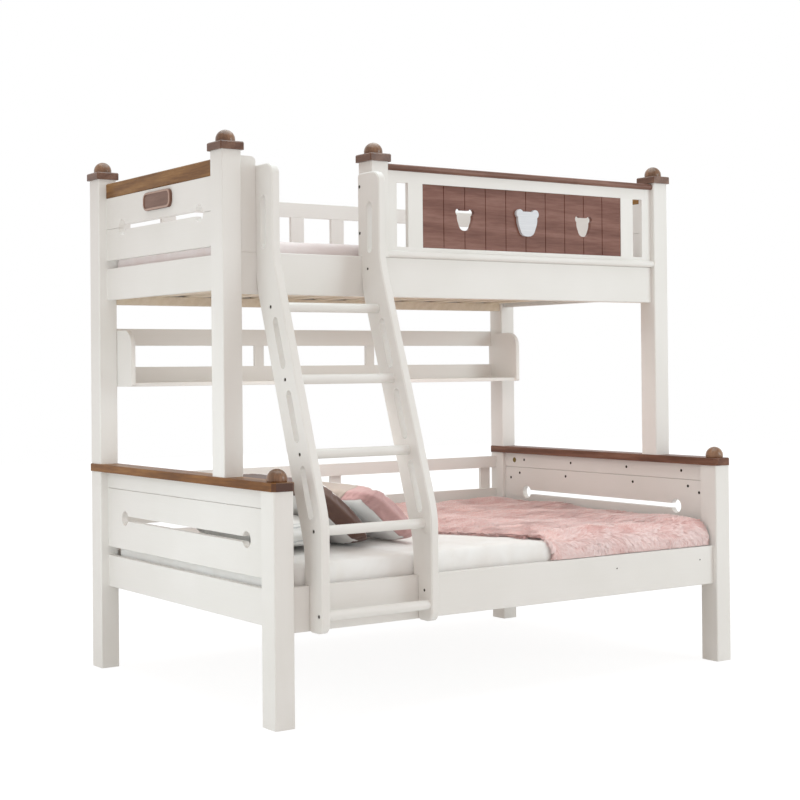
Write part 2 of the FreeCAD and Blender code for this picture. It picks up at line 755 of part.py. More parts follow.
def hold_cutter(x, y, z, lean):
    """Long hand hold with round ends, its length along the stile."""
    radius = HOLD_W / 2
    half = HOLD_L / 2 - radius
    through = STILE_T + 2 * OVERRUN
    low = V(x - OVERRUN, y - half * math.sin(lean), z - half * math.cos(lean))
    high = V(x - OVERRUN, y + half * math.sin(lean), z + half * math.cos(lean))
    side = V(0, radius * math.cos(lean), -radius * math.sin(lean))
    corners = [low.add(side), high.add(side), high.sub(side), low.sub(side)]
    web = Part.Face(Part.makePolygon(corners + [corners[0]])).extrude(V(through, 0, 0))
    ends = [rod(radius, through, place, AXIS_X) for place in (low, high)]
    return web.fuse(ends)


def holds(x):
    """Hand holds: one in the upright top and one between each pair of rungs."""
    middle = stile_middle_y(UPPER_HOLD_Z) - HOLD_FORWARD
    cutters = [hold_cutter(x, middle, UPPER_HOLD_Z, 0)]
    for i in range(RUNG_COUNT - 2):
        z = RUNG_TOP_Z - (i + 1 / 2) * RUNG_PITCH
        across = STILE_W / math.cos(LEAN)
        y = stile_back_y(z) - across / 2 - HOLD_FORWARD
        cutters.append(hold_cutter(x, y, z, LEAN))
    return cutters


def stile_blank(x):
    """Stile outline: notched over both rails, leaning between two upright ends."""
    across = STILE_W / math.cos(LEAN)
    back_up = UPPER_RAIL_Y + RAIL_T
    front_up = back_up - STILE_UPPER_W
    back_low = RAIL_INSET + RAIL_T
    foot = LOWER_RAIL_Z - STILE_DROP
    face_up = UPPER_RAIL_Y - FIT
    face_low = RAIL_INSET - FIT
    bend = STILE_BEND_R
    corners = [
        (STILE_FRONT_LOW, foot, STILE_FOOT_R),
        (STILE_FRONT_LOW, stile_z_at(STILE_FRONT_LOW, across), bend),
        (front_up, stile_z_at(front_up, across), bend),
        (front_up, STILE_TOP, STILE_TOP_R),
        (back_up, STILE_TOP, STILE_BACK_R),
        (back_up, UPPER_RAIL_TOP + FIT, 0),
        (face_up, UPPER_RAIL_TOP + FIT, 0),
        (face_up, stile_z_at(face_up, 0), bend),
        (back_low, stile_z_at(back_low, 0), bend),
        (back_low, LOWER_RAIL_TOP + FIT, 0),
        (face_low, LOWER_RAIL_TOP + FIT, 0),
        (face_low, foot, STILE_BACK_R),
    ]
    return prism([(V(x, y, z), r) for y, z, r in corners], V(STILE_T, 0, 0))


def front_edges(body, x):
    """Edges of the stile's two sides that lie ahead of its middle."""
    found = []
    for edge in body.Edges:
        middle = edge.CenterOfMass
        on_side = min(abs(middle.x - x), abs(middle.x - x - STILE_T)) < TOUCH
        if on_side and middle.y < stile_middle_y(middle.z) and edge.Length > STILE_EDGE:
            found.append(edge)
    return found


def counterbore(face_x, y, z, inward):
    """Round recess for a bolt head, sunk into the side of a stile at face_x."""
    mouth = V(face_x - inward * OVERRUN, y, z)
    return rod(RECESS_D / 2, RECESS_DEPTH + OVERRUN, mouth, V(inward, 0, 0))


def stile(x, outward):
    """Stile with eased front edges, four hand holds and recesses for its bolts."""
    blank = stile_blank(x)
    body = blank.makeChamfer(STILE_EDGE, front_edges(blank, x))
    outer = x if outward < 0 else x + STILE_T
    inner = x + STILE_T if outward < 0 else x
    cutters = holds(x)
    cutters += [counterbore(outer, y, z, -outward) for y, z in rungs_at()]
    tongue_y = UPPER_RAIL_Y + RAIL_T / 2
    cutters += [counterbore(inner, tongue_y, STILE_TOP - drop, outward)
                for drop in TONGUE_BOLT_DROPS]
    return body.cut(cutters)


def ladder():
    left_inner = LEFT_STILE_X + STILE_T
    rungs = [rod(RUNG_D / 2, RUNG_SPAN, V(left_inner, y, z), AXIS_X) for y, z in rungs_at()]
    return {
        "ladder_stile_left": stile(LEFT_STILE_X, -1),
        "ladder_stile_right": stile(RIGHT_STILE_X, 1),
        "ladder_rungs": group(rungs),
    }


# Mattresses, cushions and throw


def rounded_section(x0, y0, x1, y1, z, radius):
    corners = [V(x0, y0, z), V(x1, y0, z), V(x1, y1, z), V(x0, y1, z)]
    return rounded_wire([(corner, radius) for corner in corners])


def mattress(front, back, z, height):
    """Mattress with upright corners rounded and its top and bottom edges rolled."""
    left = BOARD_INNER + MATTRESS_END_GAP
    right = LENGTH - left
    rolls = []
    for i in range(ROLL_STEPS + 1):
        angle = i * math.pi / 2 / ROLL_STEPS
        rolls.append((MATTRESS_ROUND * (1 - math.sin(angle)),
                      MATTRESS_ROUND * (1 - math.cos(angle))))
    levels = [(inset, z + up) for inset, up in rolls]
    levels += [(inset, z + height - up) for inset, up in reversed(rolls)]
    wires = [rounded_section(left + inset, front + inset, right - inset, back - inset, level,
                             MATTRESS_CORNER) for inset, level in levels]
    return Part.makeLoft(wires, True, True)


CUSHION_LEVEL_SHARES = (-1, -0.95, -0.78, -0.48, 0, 0.48, 0.78, 0.95, 1)
CUSHION_SIZE_SHARES = (0.24, 0.46, 0.7, 0.88, 1, 0.88, 0.7, 0.46, 0.24)


def cushion(width):
    """Plump cushion about the origin: crowned faces and drawn-in sides."""
    wires = []
    for level, size in zip(CUSHION_LEVEL_SHARES, CUSHION_SIZE_SHARES):
        z = level * CUSHION_T / 2
        a = size * width / 2
        b = size * CUSHION_L / 2
        pinch = size * CUSHION_PINCH
        outline = [V(-a, -b, z), V(0, pinch - b, z), V(a, -b, z), V(a - pinch, 0, z),
                   V(a, b, z), V(0, b - pinch, z), V(-a, b, z), V(pinch - a, 0, z)]
        wires.append(Part.makePolygon(outline + [outline[0]]))
    return flat_faced(Part.makeLoft(wires, True, True))


def leaning_cushion(width, foot):
    """Cushion with its lower edge on the mattress, foot away from the end board."""
    lean = math.radians(CUSHION_LEAN)
    drop = max(size * width / 2 * math.sin(lean) + level * CUSHION_T / 2 * math.cos(lean)
               for level, size in zip(CUSHION_LEVEL_SHARES, CUSHION_SIZE_SHARES))
    turned = cushion(width)
    turned.rotate(V(0, 0, 0), AXIS_Y, CUSHION_LEAN)
    x = BOARD_INNER + foot - width / 2 * math.cos(lean)
    return turned.translated(V(x, CUSHION_FRONT + CUSHION_L / 2, LOWER_BED_TOP + FIT + drop))


def flat_cushion():
    x = BOARD_INNER + CUSHION_GAP + FLAT_CUSHION_W / 2
    z = LOWER_BED_TOP + FIT + CUSHION_T / 2
    return cushion(FLAT_CUSHION_W).translated(V(x, CUSHION_FRONT + CUSHION_L / 2, z))


def throw():
    """Fur throw: flat on the mattress, rolled over its front edge and hanging."""
    right = RIGHT_POST_X - THROW_POST_GAP
    left = BOARD_INNER + THROW_START
    front = LOWER_BED_FRONT - FIT
    back = REAR_RAIL_Y - THROW_BACK_GAP
    under = LOWER_BED_TOP + FIT
    hem = LOWER_RAIL_TOP + THROW_HEM_GAP
    spans = 4 * THROW_FOLDS
    wires = []
    for i in range(spans + 1):
        x = left + (right - left) * i / spans
        swing = THROW_FOLD * math.cos(math.pi * THROW_FOLDS * i / spans) ** 2
        out = front - THROW_T + swing
        corners = [
            (V(x, back, under), 0),
            (V(x, back, under + THROW_T), 0),
            (V(x, out, under + THROW_T), MATTRESS_ROUND + THROW_T - swing),
            (V(x, out, hem), 0),
            (V(x, front, hem), 0),
            (V(x, front, under), MATTRESS_ROUND),
        ]
        wires.append(rounded_wire(corners))
    sheet = Part.makeLoft(wires, True, True)
    low = hem - OVERRUN
    ahead = front - THROW_T - OVERRUN
    beside = left - OVERRUN
    knife = [(V(beside, ahead, low), 0),
             (V(left + THROW_CUT_X, ahead, low), 0),
             (V(left + THROW_CUT_X, front, low), 0),
             (V(left, front + THROW_CUT_Y, low), 0),
             (V(beside, front + THROW_CUT_Y, low), 0)]
    return sheet.cut(prism(knife, V(0, 0, under + THROW_T + OVERRUN - low)))


def soft_goods():
    """Bedding. Each leaning cushion stands a cushion's thickness behind the last one."""
    lower_back = REAR_RAIL_Y - LOWER_MATTRESS_SIDE_GAP
    upper_back = REAR_RAIL_Y - UPPER_MATTRESS_SIDE_GAP
    brown_foot = CUSHION_GAP + FLAT_CUSHION_W + CUSHION_STEP_SHARE * CUSHION_T
    step = CUSHION_T / math.sin(math.radians(CUSHION_LEAN)) + CUSHION_STEP_GAP
    return {
        "lower_mattress": mattress(LOWER_BED_FRONT, lower_back, LOWER_BED_Z,
                                   LOWER_MATTRESS_H),
        "upper_mattress": mattress(UPPER_BED_FRONT, upper_back, UPPER_BED_Z,
                                   UPPER_MATTRESS_H),
        "cushion_flat": flat_cushion(),
        "cushion_brown": leaning_cushion(BROWN_CUSHION_W, brown_foot),
        "cushion_pink": leaning_cushion(PINK_CUSHION_W, brown_foot + step),
        "fur_throw": throw(),
    }


def all_parts():
    parts = posts()
    parts.update(caps_and_balls())
    for bunk, end in (("lower", lower_end()), ("upper", upper_end())):
        for name, shape in end.items():
            parts[bunk + "_head_" + name] = shape
            parts[bunk + "_foot_" + name] = mirrored_end(shape)
    parts["plaque"] = plaque()
    parts.update(side_rails())
    parts["cleats"] = cleats()
    parts["lower_laths"] = laths(RAIL_INSET, LOWER_LATH_Z)
    parts["upper_laths"] = laths(UPPER_RAIL_Y, UPPER_LATH_Z)
    parts.update(front_guard())
    parts.update(rear_guards())
    parts.update(shelf())
    parts.update(ladder())
    parts.update(soft_goods())
    return parts


os.makedirs("parts", exist_ok=True)
for name, shape in all_parts().items():
    placed = shape.translated(V(MIDDLE).multiply(-1))
    placed.exportStep("parts/" + name + ".step")
    print(name, len(placed.Solids), placed.isValid(), round(placed.Volume / 1000))
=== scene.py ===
import math

import bpy
import numpy as np
from mathutils import Matrix, Vector


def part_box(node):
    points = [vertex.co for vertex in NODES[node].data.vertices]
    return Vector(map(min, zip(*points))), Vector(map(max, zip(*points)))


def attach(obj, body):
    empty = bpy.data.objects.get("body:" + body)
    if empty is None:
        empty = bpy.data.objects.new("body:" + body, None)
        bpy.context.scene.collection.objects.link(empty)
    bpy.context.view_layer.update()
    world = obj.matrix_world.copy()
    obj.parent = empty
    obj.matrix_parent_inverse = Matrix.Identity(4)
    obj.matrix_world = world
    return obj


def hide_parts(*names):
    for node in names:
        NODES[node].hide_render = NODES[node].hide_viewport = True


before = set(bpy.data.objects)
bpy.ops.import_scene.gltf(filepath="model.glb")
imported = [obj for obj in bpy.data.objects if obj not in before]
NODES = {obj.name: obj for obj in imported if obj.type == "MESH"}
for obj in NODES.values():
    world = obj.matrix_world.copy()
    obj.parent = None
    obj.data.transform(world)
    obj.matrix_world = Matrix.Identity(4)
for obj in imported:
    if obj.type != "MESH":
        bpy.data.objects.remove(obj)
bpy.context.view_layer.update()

# Bunk bed: finishes for the joinery, soft goods, small fasteners, camera and light.
# The frame's own pieces keep their shape and get a procedural finish. Mattresses,
# cushions, throw and turned balls are worked out here, in metres, inside their boxes.

TURN = 2 * math.pi

# Cushions: width of the sewn band, how far its joins lie from the corners, the distance
# that a cushion is set back, the share by which its sides pull in, and the furthest that
# blowing it up moves a point
BAND_WIDTH = 0.05
CORNER_JOIN = 0.125
SET_BACK = 0.03
PULL = 0.04
SWELL = 0.014

# Mattresses: the corner radius seen from above, and how far the top and bottom edges
# draw in
MATTRESS_CORNER = 0.09
DRAW_IN = 0.045


# Small tools for numbers, boxes and meshes


def display(red, green, blue):
    """Scene colour for a display colour given from 0 to 255."""
    share = np.array([red, green, blue]) / 255
    linear = np.where(share > 0.04045, ((share + 0.055) / 1.055) ** 2.4, share / 12.92)
    return (*linear, 1.0)


def box_of(node):
    """Low and high corner of a frame node as two arrays."""
    low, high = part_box(node)
    return np.array(low), np.array(high)


def smooth_step(low, high, value):
    """0 below low, 1 above high, and a smooth S between them."""
    t = np.clip((value - low) / (high - low), 0, 1)
    return t * t * (3 - 2 * t)


def mesh_object(name, points, faces):
    """Mesh object from an array of points and an array of faces, unused points dropped."""
    used, compact = np.unique(np.concatenate([np.ravel(f) for f in faces]), return_inverse=True)
    rows = []
    start = 0
    for group in faces:
        size = np.size(group)
        rows += compact[start:start + size].reshape(np.shape(group)).tolist()
        start += size
    mesh = bpy.data.meshes.new(name)
    mesh.from_pydata(points[used].tolist(), [], rows)
    mesh.polygons.foreach_set("use_smooth", np.full(len(mesh.polygons), True))
    mesh.update()
    made = bpy.data.objects.new(name, mesh)
    bpy.context.scene.collection.objects.link(made)
    return made, used


def grid_faces(rows, columns, around=True, poles=(False, False), offset=0):
    """Faces of a grid whose rows run along the first parameter. Around joins the last
    column to the first, and a pole row is one point."""
    index = np.arange(rows * columns).reshape(rows, columns) + offset
    if poles[0]:
        index[0] = index[0, 0]
    if poles[1]:
        index[-1] = index[-1, 0]
    left = index if around else index[:, :-1]
    right = np.roll(index, -1, axis=1) if around else index[:, 1:]
    first = 1 if poles[0] else 0
    last = rows - 2 if poles[1] else rows - 1
    faces = [np.stack([left[first:last], right[first:last],
                       right[first + 1:last + 1], left[first + 1:last + 1]], -1).reshape(-1, 4)]
    if poles[0]:
        faces.append(np.stack([left[0], right[1], left[1]], -1))
    if poles[1]:
        faces.append(np.stack([left[-2], right[-2], left[-1]], -1))
    return faces


def surface(name, grid, around=True, poles=(False, False)):
    """Mesh object through a (rows, columns, 3) grid of points."""
    grid = np.array(grid)
    if poles[0]:
        grid[0] = grid[0].mean(axis=0)
    if poles[1]:
        grid[-1] = grid[-1].mean(axis=0)
    faces = grid_faces(*grid.shape[:2], around, poles)
    return mesh_object(name, grid.reshape(-1, 3), faces)


def point_attribute(made, name, values):
    """Stores one number for each point of a mesh under a name."""
    made.data.attributes.new(name, "FLOAT", "POINT").data.foreach_set(
        "value", np.asarray(values, np.float32))


def settle(made, body, slot, material, *nodes):
    """Gives a finished piece its material and body and hides the nodes it stands for. The slot is
    not used.
    """
    made.data.materials.clear()
    made.data.materials.append(material)
    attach(made, body)
    if nodes:
        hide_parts(*nodes)
    return made


def rounded_rectangle(half_x, half_y, radius, count):
    """Outline of a rectangle with round corners, evenly spaced by length: a point is the
    centre of its corner circle plus the radius along a direction that turns only there."""
    cx, cy = half_x - radius, half_y - radius
    arc = radius * math.pi / 2
    runs = np.cumsum([0, 2 * cx, arc, 2 * cy, arc, 2 * cx, arc, 2 * cy, arc])
    angle = np.radians([-90, -90, 0, 0, 90, 90, 180, 180, 270])
    centre_x = np.array([-cx, cx, cx, cx, cx, -cx, -cx, -cx, -cx])
    centre_y = np.array([-cy, -cy, -cy, cy, cy, cy, cy, -cy, -cy])
    at = np.linspace(0, runs[-1], count, endpoint=False)
    turn = np.interp(at, runs, angle)
    outward = np.stack([np.cos(turn), np.sin(turn)], -1)
    middle = np.stack([np.interp(at, runs, centre_x), np.interp(at, runs, centre_y)], -1)
    return middle + radius * outward, outward


def grid_normals(grid):
    """Outward directions of a grid that is closed round its columns, from differences."""
    along = np.gradient(grid, axis=0)
    across = (np.roll(grid, -1, axis=1) - np.roll(grid, 1, axis=1)) / 2
    normal = np.cross(across, along)
    return normal / np.maximum(np.linalg.norm(normal, axis=-1, keepdims=True), 1e-9)


# Shader tools


def fill(tree, socket, value):
    """Links an input socket to another socket, or sets it to a number or colour."""
    if isinstance(value, bpy.types.NodeSocket):
        tree.links.new(value, socket)
    else:
        socket.default_value = value


def node(tree, kind, sockets=None, **settings):
    """Shader node with its settings and its sockets, linked or set."""
    made = tree.nodes.new("ShaderNode" + kind)
    for key, value in settings.items():
        setattr(made, key, value)
    for key, value in (sockets or {}).items():
        fill(tree, made.inputs[key], value)
    return made


def combine(tree, operation, first, second=0.5, clamp=False):
    """Result of one math operation on two values."""
    return node(tree, "Math", {0: first, 1: second}, operation=operation,
                use_clamp=clamp).outputs[0]


def spread(tree, value, source=(0, 1), target=(0, 1)):
    """Value carried from a source range to a target range and held at its ends."""
    return node(tree, "MapRange", {"Value": value, "From Min": source[0],
                                   "From Max": source[1], "To Min": target[0],
                                   "To Max": target[1]}).outputs[0]


def ramp(tree, factor, *stops):
    """Colour ramp through (place, colour) stops."""
    made = node(tree, "ValToRGB", {"Fac": factor})
    elements = made.color_ramp.elements
    while len(elements) < len(stops):
        elements.new(0.5)
    for element, (place, colour) in zip(elements, stops):
        element.position = place
        element.color = colour
    return made.outputs["Color"]


def mix(tree, factor, first, second):
    """Colour that goes from the first to the second as the factor goes from 0 to 1."""
    made = node(tree, "Mix", data_type="RGBA")
    for label, value in (("Factor", factor), ("A", first), ("B", second)):
        fill(tree, [s for s in made.inputs if s.name == label and s.enabled][0], value)
    return [s for s in made.outputs if s.enabled][0]


def effect_group(name, inputs, outputs):
    """Empty shader group with named sockets, its input node and its output node."""
    tree = bpy.data.node_groups.new(name, "ShaderNodeTree")
    for label, kind, value in inputs:
        socket = tree.interface.new_socket(label, in_out="INPUT",
                                           socket_type="NodeSocket" + kind)
        if value is not None:
            socket.default_value = value
    for label, kind in outputs:
        tree.interface.new_socket(label, in_out="OUTPUT", socket_type="NodeSocket" + kind)
    return tree, tree.nodes.new("NodeGroupInput"), tree.nodes.new("NodeGroupOutput")


def placed(tree, group, sockets):
    """A group node in a material's tree."""
    return node(tree, "Group", sockets, node_tree=group)


def new_material(name, **shader):
    """Material with a Principled shader, its fixed numbers set on its own sockets."""
    material = bpy.data.materials.new(name)
    material.use_nodes = True
    tree = material.node_tree
    bsdf = tree.nodes["Principled BSDF"]
    for key, value in shader.items():
        bsdf.inputs[key.replace("_", " ")].default_value = value
    return material, tree, bsdf


def object_place(tree, turn=(0, 0, 0)):
    """Object coordinates, turned."""
    coordinates = node(tree, "TexCoord").outputs["Object"]
    return node(tree, "Mapping", {"Vector": coordinates,
                                  "Rotation": turn}).outputs["Vector"]


def noise(tree, vector, scale, detail, **more):
    """Value of a noise texture, its other sockets given by name."""
    sockets = {"Vector": vector, "Scale": scale, "Detail": detail, **more}
    return node(tree, "TexNoise", sockets).outputs["Fac"]


def attribute(tree, name):
    """Value of a mesh attribute."""
    return node(tree, "Attribute", attribute_name=name,
                attribute_type="GEOMETRY").outputs["Fac"]


def feed(tree, bsdf, colour, rough, height=None, strength=0.0, distance=0.0):
    """Links a colour, a roughness and a height for its bumps to a material's shader."""
    tree.links.new(colour, bsdf.inputs["Base Color"])
    tree.links.new(rough, bsdf.inputs["Roughness"])
    if height is not None:
        bumps = node(tree, "Bump", {"Height": height, "Strength": strength,
                                    "Distance": distance})
        tree.links.new(bumps.outputs["Normal"], bsdf.inputs["Normal"])


# Effects that several finishes share


def make_grain_effect():
    """Wood figure on a vector whose X runs along the grain: bent growth bands, long
    streaks and short dark pores."""
    tree, given, out = effect_group(
        "wood figure", [("Vector", "Vector", None), ("Bands", "Float", 9.0)],
        [("Figure", "Float"), ("Pores", "Float")])
    vector = given.outputs["Vector"]
    drawn = node(tree, "Mapping", {"Vector": vector, "Scale": (0.09, 1, 1)}).outputs[0]
    wander = noise(tree, drawn, 7.0, 3.0)
    bands = node(tree, "TexWave", {"Vector": drawn, "Scale": given.outputs["Bands"],
                                   "Distortion": 5.0, "Detail": 3.0, "Detail Scale": 1.6},
                 wave_type="BANDS", bands_direction="DIAGONAL")
    streaks = noise(tree, drawn, 110.0, 4.0, Roughness=0.65)
    soft = combine(tree, "MULTIPLY", bands.outputs["Fac"], 0.14)
    soft = combine(tree, "ADD", soft, combine(tree, "MULTIPLY", wander, 0.42))
    figure = combine(tree, "ADD", soft, combine(tree, "MULTIPLY", streaks, 0.44))
    short = node(tree, "Mapping", {"Vector": vector, "Scale": (0.04, 1, 1)}).outputs[0]
    dark = spread(tree, noise(tree, short, 520.0, 1.0), (0.58, 0.72))
    tree.links.new(figure, out.inputs["Figure"])
    tree.links.new(dark, out.inputs["Pores"])
    return tree


def make_brushwork_effect():
    """Painted surface on a vector whose X runs along the brush: slow clouds in the tone
    and fine long brush marks."""
    tree, given, out = effect_group(
        "brushwork", [("Vector", "Vector", None)],
        [("Cloud", "Float"), ("Marks", "Float")])
    vector = given.outputs["Vector"]
    drawn = node(tree, "Mapping", {"Vector": vector, "Scale": (0.03, 1, 1)}).outputs[0]
    tree.links.new(noise(tree, vector, 3.2, 2.0), out.inputs["Cloud"])
    tree.links.new(noise(tree, drawn, 260.0, 3.0, Roughness=0.6), out.inputs["Marks"])
    return tree


def make_weave_effect():
    """Plain weave: threads cross in two directions, with uneven thread and soft creases."""
    tree, given, out = effect_group(
        "plain weave", [("Vector", "Vector", None), ("Threads", "Float", 160.0)],
        [("Thread", "Float"), ("Crease", "Float"), ("Uneven", "Float")])
    vector = given.outputs["Vector"]
    heights = []
    for direction in ("X", "Y"):
        wave = node(tree, "TexWave", {"Vector": vector, "Scale": given.outputs["Threads"],
                                      "Distortion": 0.6, "Detail": 1.0},
                    wave_type="BANDS", bands_direction=direction)
        heights.append(wave.outputs["Fac"])
    tree.links.new(combine(tree, "MULTIPLY", *heights), out.inputs["Thread"])
    tree.links.new(noise(tree, vector, 9.0, 3.0, Distortion=0.6), out.inputs["Crease"])
    tree.links.new(noise(tree, vector, 90.0, 2.0), out.inputs["Uneven"])
    return tree


GRAIN = make_grain_effect()
BRUSHWORK = make_brushwork_effect()
WEAVE = make_weave_effect()

# Turns that lay a pattern's X along the piece
ALONG_X = (0, 0, 0)
ALONG_Y = (0, 0, -math.pi / 2)
ALONG_Z = (0, math.pi / 2, 0)


def white_paint(name, along):
    """Warm white satin paint brushed along the piece."""
    material, tree, bsdf = new_material(name, Coat_Weight=0.12, Coat_Roughness=0.25,
                                        Specular_IOR_Level=0.4)
    work = placed(tree, BRUSHWORK, {"Vector": object_place(tree, turn=along)})
    colour = ramp(tree, work.outputs["Cloud"], (0.3, display(227, 224, 219)),
                  (0.7, display(232, 229, 225)))
    marked = mix(tree, combine(tree, "MULTIPLY", work.outputs["Marks"], 0.14),
                 colour, display(212, 205, 195))
    rough = spread(tree, work.outputs["Marks"], target=(0.34, 0.5))
    feed(tree, bsdf, marked, rough, work.outputs["Marks"], 0.12, 0.0006)
    return material


def end_grain(tree, colour, end_colour, axis):
    """Colour that turns to the darker end grain on faces square to one axis."""
    facing = node(tree, "SeparateXYZ", {0: node(tree, "TexCoord").outputs["Normal"]})
    square = combine(tree, "ABSOLUTE", facing.outputs[axis])
    return mix(tree, spread(tree, square, (0.6, 0.75)), colour, end_colour)


def brown_wood(name, along, dark, middle, light, bands=9.0, end=None, coat=0.04, highlight_rim=None):
    """Stained and lacquered wood with its figure along the piece. End gives the axis and
    colour of its end grain, and highlight_rim the place in X of a raised border and the
    lighter colour painted on it as a highlight."""
    material, tree, bsdf = new_material(name, Coat_Weight=coat, Coat_Roughness=0.2,
                                        Specular_IOR_Level=0.18)
    place = object_place(tree, turn=along)
    wood = placed(tree, GRAIN, {"Vector": place, "Bands": bands})
    colour = ramp(tree, wood.outputs["Figure"], (0.36, dark), (0.5, middle), (0.66, light))
    if end:
        colour = end_grain(tree, colour, end[1], end[0])
    if highlight_rim:
        # Painted highlight: the raised border, up to the given place in X, takes the lighter
        # colour
        across = node(tree, "SeparateXYZ", {0: node(tree, "TexCoord").outputs["Object"]})
        ground = spread(tree, across.outputs["X"], (highlight_rim[0] - 0.0005, highlight_rim[0] + 0.0005))
        colour = mix(tree, ground, highlight_rim[1], colour)
    pored = mix(tree, combine(tree, "MULTIPLY", wood.outputs["Pores"], 0.3), colour, dark)
    rough = spread(tree, wood.outputs["Figure"], target=(0.48, 0.3))
    feed(tree, bsdf, pored, rough, wood.outputs["Figure"], 0.12, 0.0006)
    return material


def bare_pine(name, along):
    """Planed pine without a finish, its figure along the piece."""
    material, tree, bsdf = new_material(name)
    place = object_place(tree, turn=along)
    wood = placed(tree, GRAIN, {"Vector": place, "Bands": 12.0})
    colour = ramp(tree, wood.outputs["Figure"], (0.34, display(216, 201, 178)),
                  (0.5, display(222, 208, 187)), (0.66, display(228, 215, 196)))
    rough = spread(tree, wood.outputs["Figure"], target=(0.7, 0.5))
    feed(tree, bsdf, colour, rough, wood.outputs["Figure"], 0.2, 0.0008)
    return material


def badge_paint():
    """Pale, slightly bluish paint on the badge, with brush marks."""
    material, tree, bsdf = new_material("badge paint", Coat_Weight=0.2)
    work = placed(tree, BRUSHWORK, {"Vector": object_place(tree)})
    colour = ramp(tree, work.outputs["Marks"], (0.35, display(203, 203, 207)),
                  (0.65, display(213, 213, 216)))
    rough = spread(tree, work.outputs["Cloud"], target=(0.35, 0.5))
    feed(tree, bsdf, colour, rough, work.outputs["Marks"], 0.1, 0.0005)
    return material


def cotton(name, light, shade):
    """Smooth woven cotton with shade painted softly into its creases: the colour goes to the
    shade colour in the dents that the same crease noise makes.
    """
    material, tree, bsdf = new_material(name, Sheen_Weight=0.2, Sheen_Roughness=0.5,
                                        Specular_IOR_Level=0.25)
    cloth = placed(tree, WEAVE, {"Vector": object_place(tree)})
    # Painted shade: darker where the crease noise is low
    colour = ramp(tree, cloth.outputs["Crease"], (0.3, shade), (0.62, light))
    speckled = mix(tree, combine(tree, "MULTIPLY", cloth.outputs["Uneven"], 0.12), colour,
                   shade)
    rough = spread(tree, cloth.outputs["Uneven"], target=(0.75, 0.92))
    heights = combine(tree, "ADD", combine(tree, "MULTIPLY", cloth.outputs["Thread"], 0.05),
                      cloth.outputs["Crease"])
    feed(tree, bsdf, speckled, rough, heights, 0.35, 0.006)
    return material


def cover_cotton(name, border, other_border):
    """White cushion cover with a coloured band sewn round it, in one colour on its short
    sides and another on its long ones. The cover's own map runs in metres from its
    middle; its first axis points down the cushion, its second along it."""
    material, tree, bsdf = new_material(name, Sheen_Weight=0.25, Sheen_Roughness=0.5,
                                        Specular_IOR_Level=0.25)
    spot = node(tree, "UVMap", uv_map="cover").outputs["UV"]
    inset = attribute(tree, "inset")
    other = attribute(tree, "long_side")
    cloth = placed(tree, WEAVE, {"Vector": spot, "Threads": 140.0})
    band = spread(tree, inset, (BAND_WIDTH, BAND_WIDTH - 0.0015))
    band_colour = mix(tree, spread(tree, other, (-0.001, 0.001)), border, other_border)
    shaded = mix(tree, combine(tree, "MULTIPLY", cloth.outputs["Uneven"], 0.22),
                 band_colour, display(104, 80, 74))
    # Painted shade: the white darkens a little where the crease noise is low
    white = ramp(tree, cloth.outputs["Crease"], (0.3, display(234, 235, 234)),
                 (0.6, display(243, 244, 243)))
    colour = mix(tree, band, white, shaded)
    # Painted shade along the seam and the slanting corner joins: the mask below darkens the
    # colour there, as in the seam's crease, and also sinks them as a groove
    past_seam = combine(tree, "SUBTRACT", inset, BAND_WIDTH)
    from_seam = combine(tree, "ABSOLUTE", past_seam)
    from_mitre = combine(tree, "MAXIMUM", combine(tree, "ABSOLUTE", other), past_seam)
    seam = spread(tree, combine(tree, "MINIMUM", from_seam, from_mitre), (0, 0.003))
    colour = mix(tree, spread(tree, seam, target=(0.35, 0)), colour, display(120, 96, 90))
    rough = spread(tree, cloth.outputs["Uneven"], target=(0.7, 0.9))
    heights = combine(tree, "ADD", combine(tree, "MULTIPLY", cloth.outputs["Thread"], 0.08),
                      seam)
    feed(tree, bsdf, colour, rough, heights, 0.4, 0.002)
    return material


def striped_cotton(name):
    """White cushion cover with two thin grey stripes woven along its edge. Each stripe
    fades out between the two distances of its fade."""
    middles, fade = (0.024, 0.044), (0.0032, 0.0024)
    material, tree, bsdf = new_material(name, Sheen_Weight=0.25, Sheen_Roughness=0.5,
                                        Specular_IOR_Level=0.25)
    spot = node(tree, "UVMap", uv_map="cover").outputs["UV"]
    inset = attribute(tree, "inset")
    cloth = placed(tree, WEAVE, {"Vector": spot, "Threads": 140.0})
    # Painted shade: the white darkens a little where the crease noise is low
    white = ramp(tree, cloth.outputs["Crease"], (0.3, display(232, 233, 231)),
                 (0.6, display(242, 243, 241)))
    stripes = []
    for middle in middles:
        away = combine(tree, "ABSOLUTE", combine(tree, "SUBTRACT", inset, middle))
        stripes.append(spread(tree, away, fade))
    striped = combine(tree, "MULTIPLY", combine(tree, "ADD", *stripes, clamp=True), 0.7)
    colour = mix(tree, striped, white, display(186, 190, 192))
    rough = spread(tree, cloth.outputs["Uneven"], target=(0.7, 0.9))
    feed(tree, bsdf, colour, rough, cloth.outputs["Thread"], 0.3, 0.001)
    return material


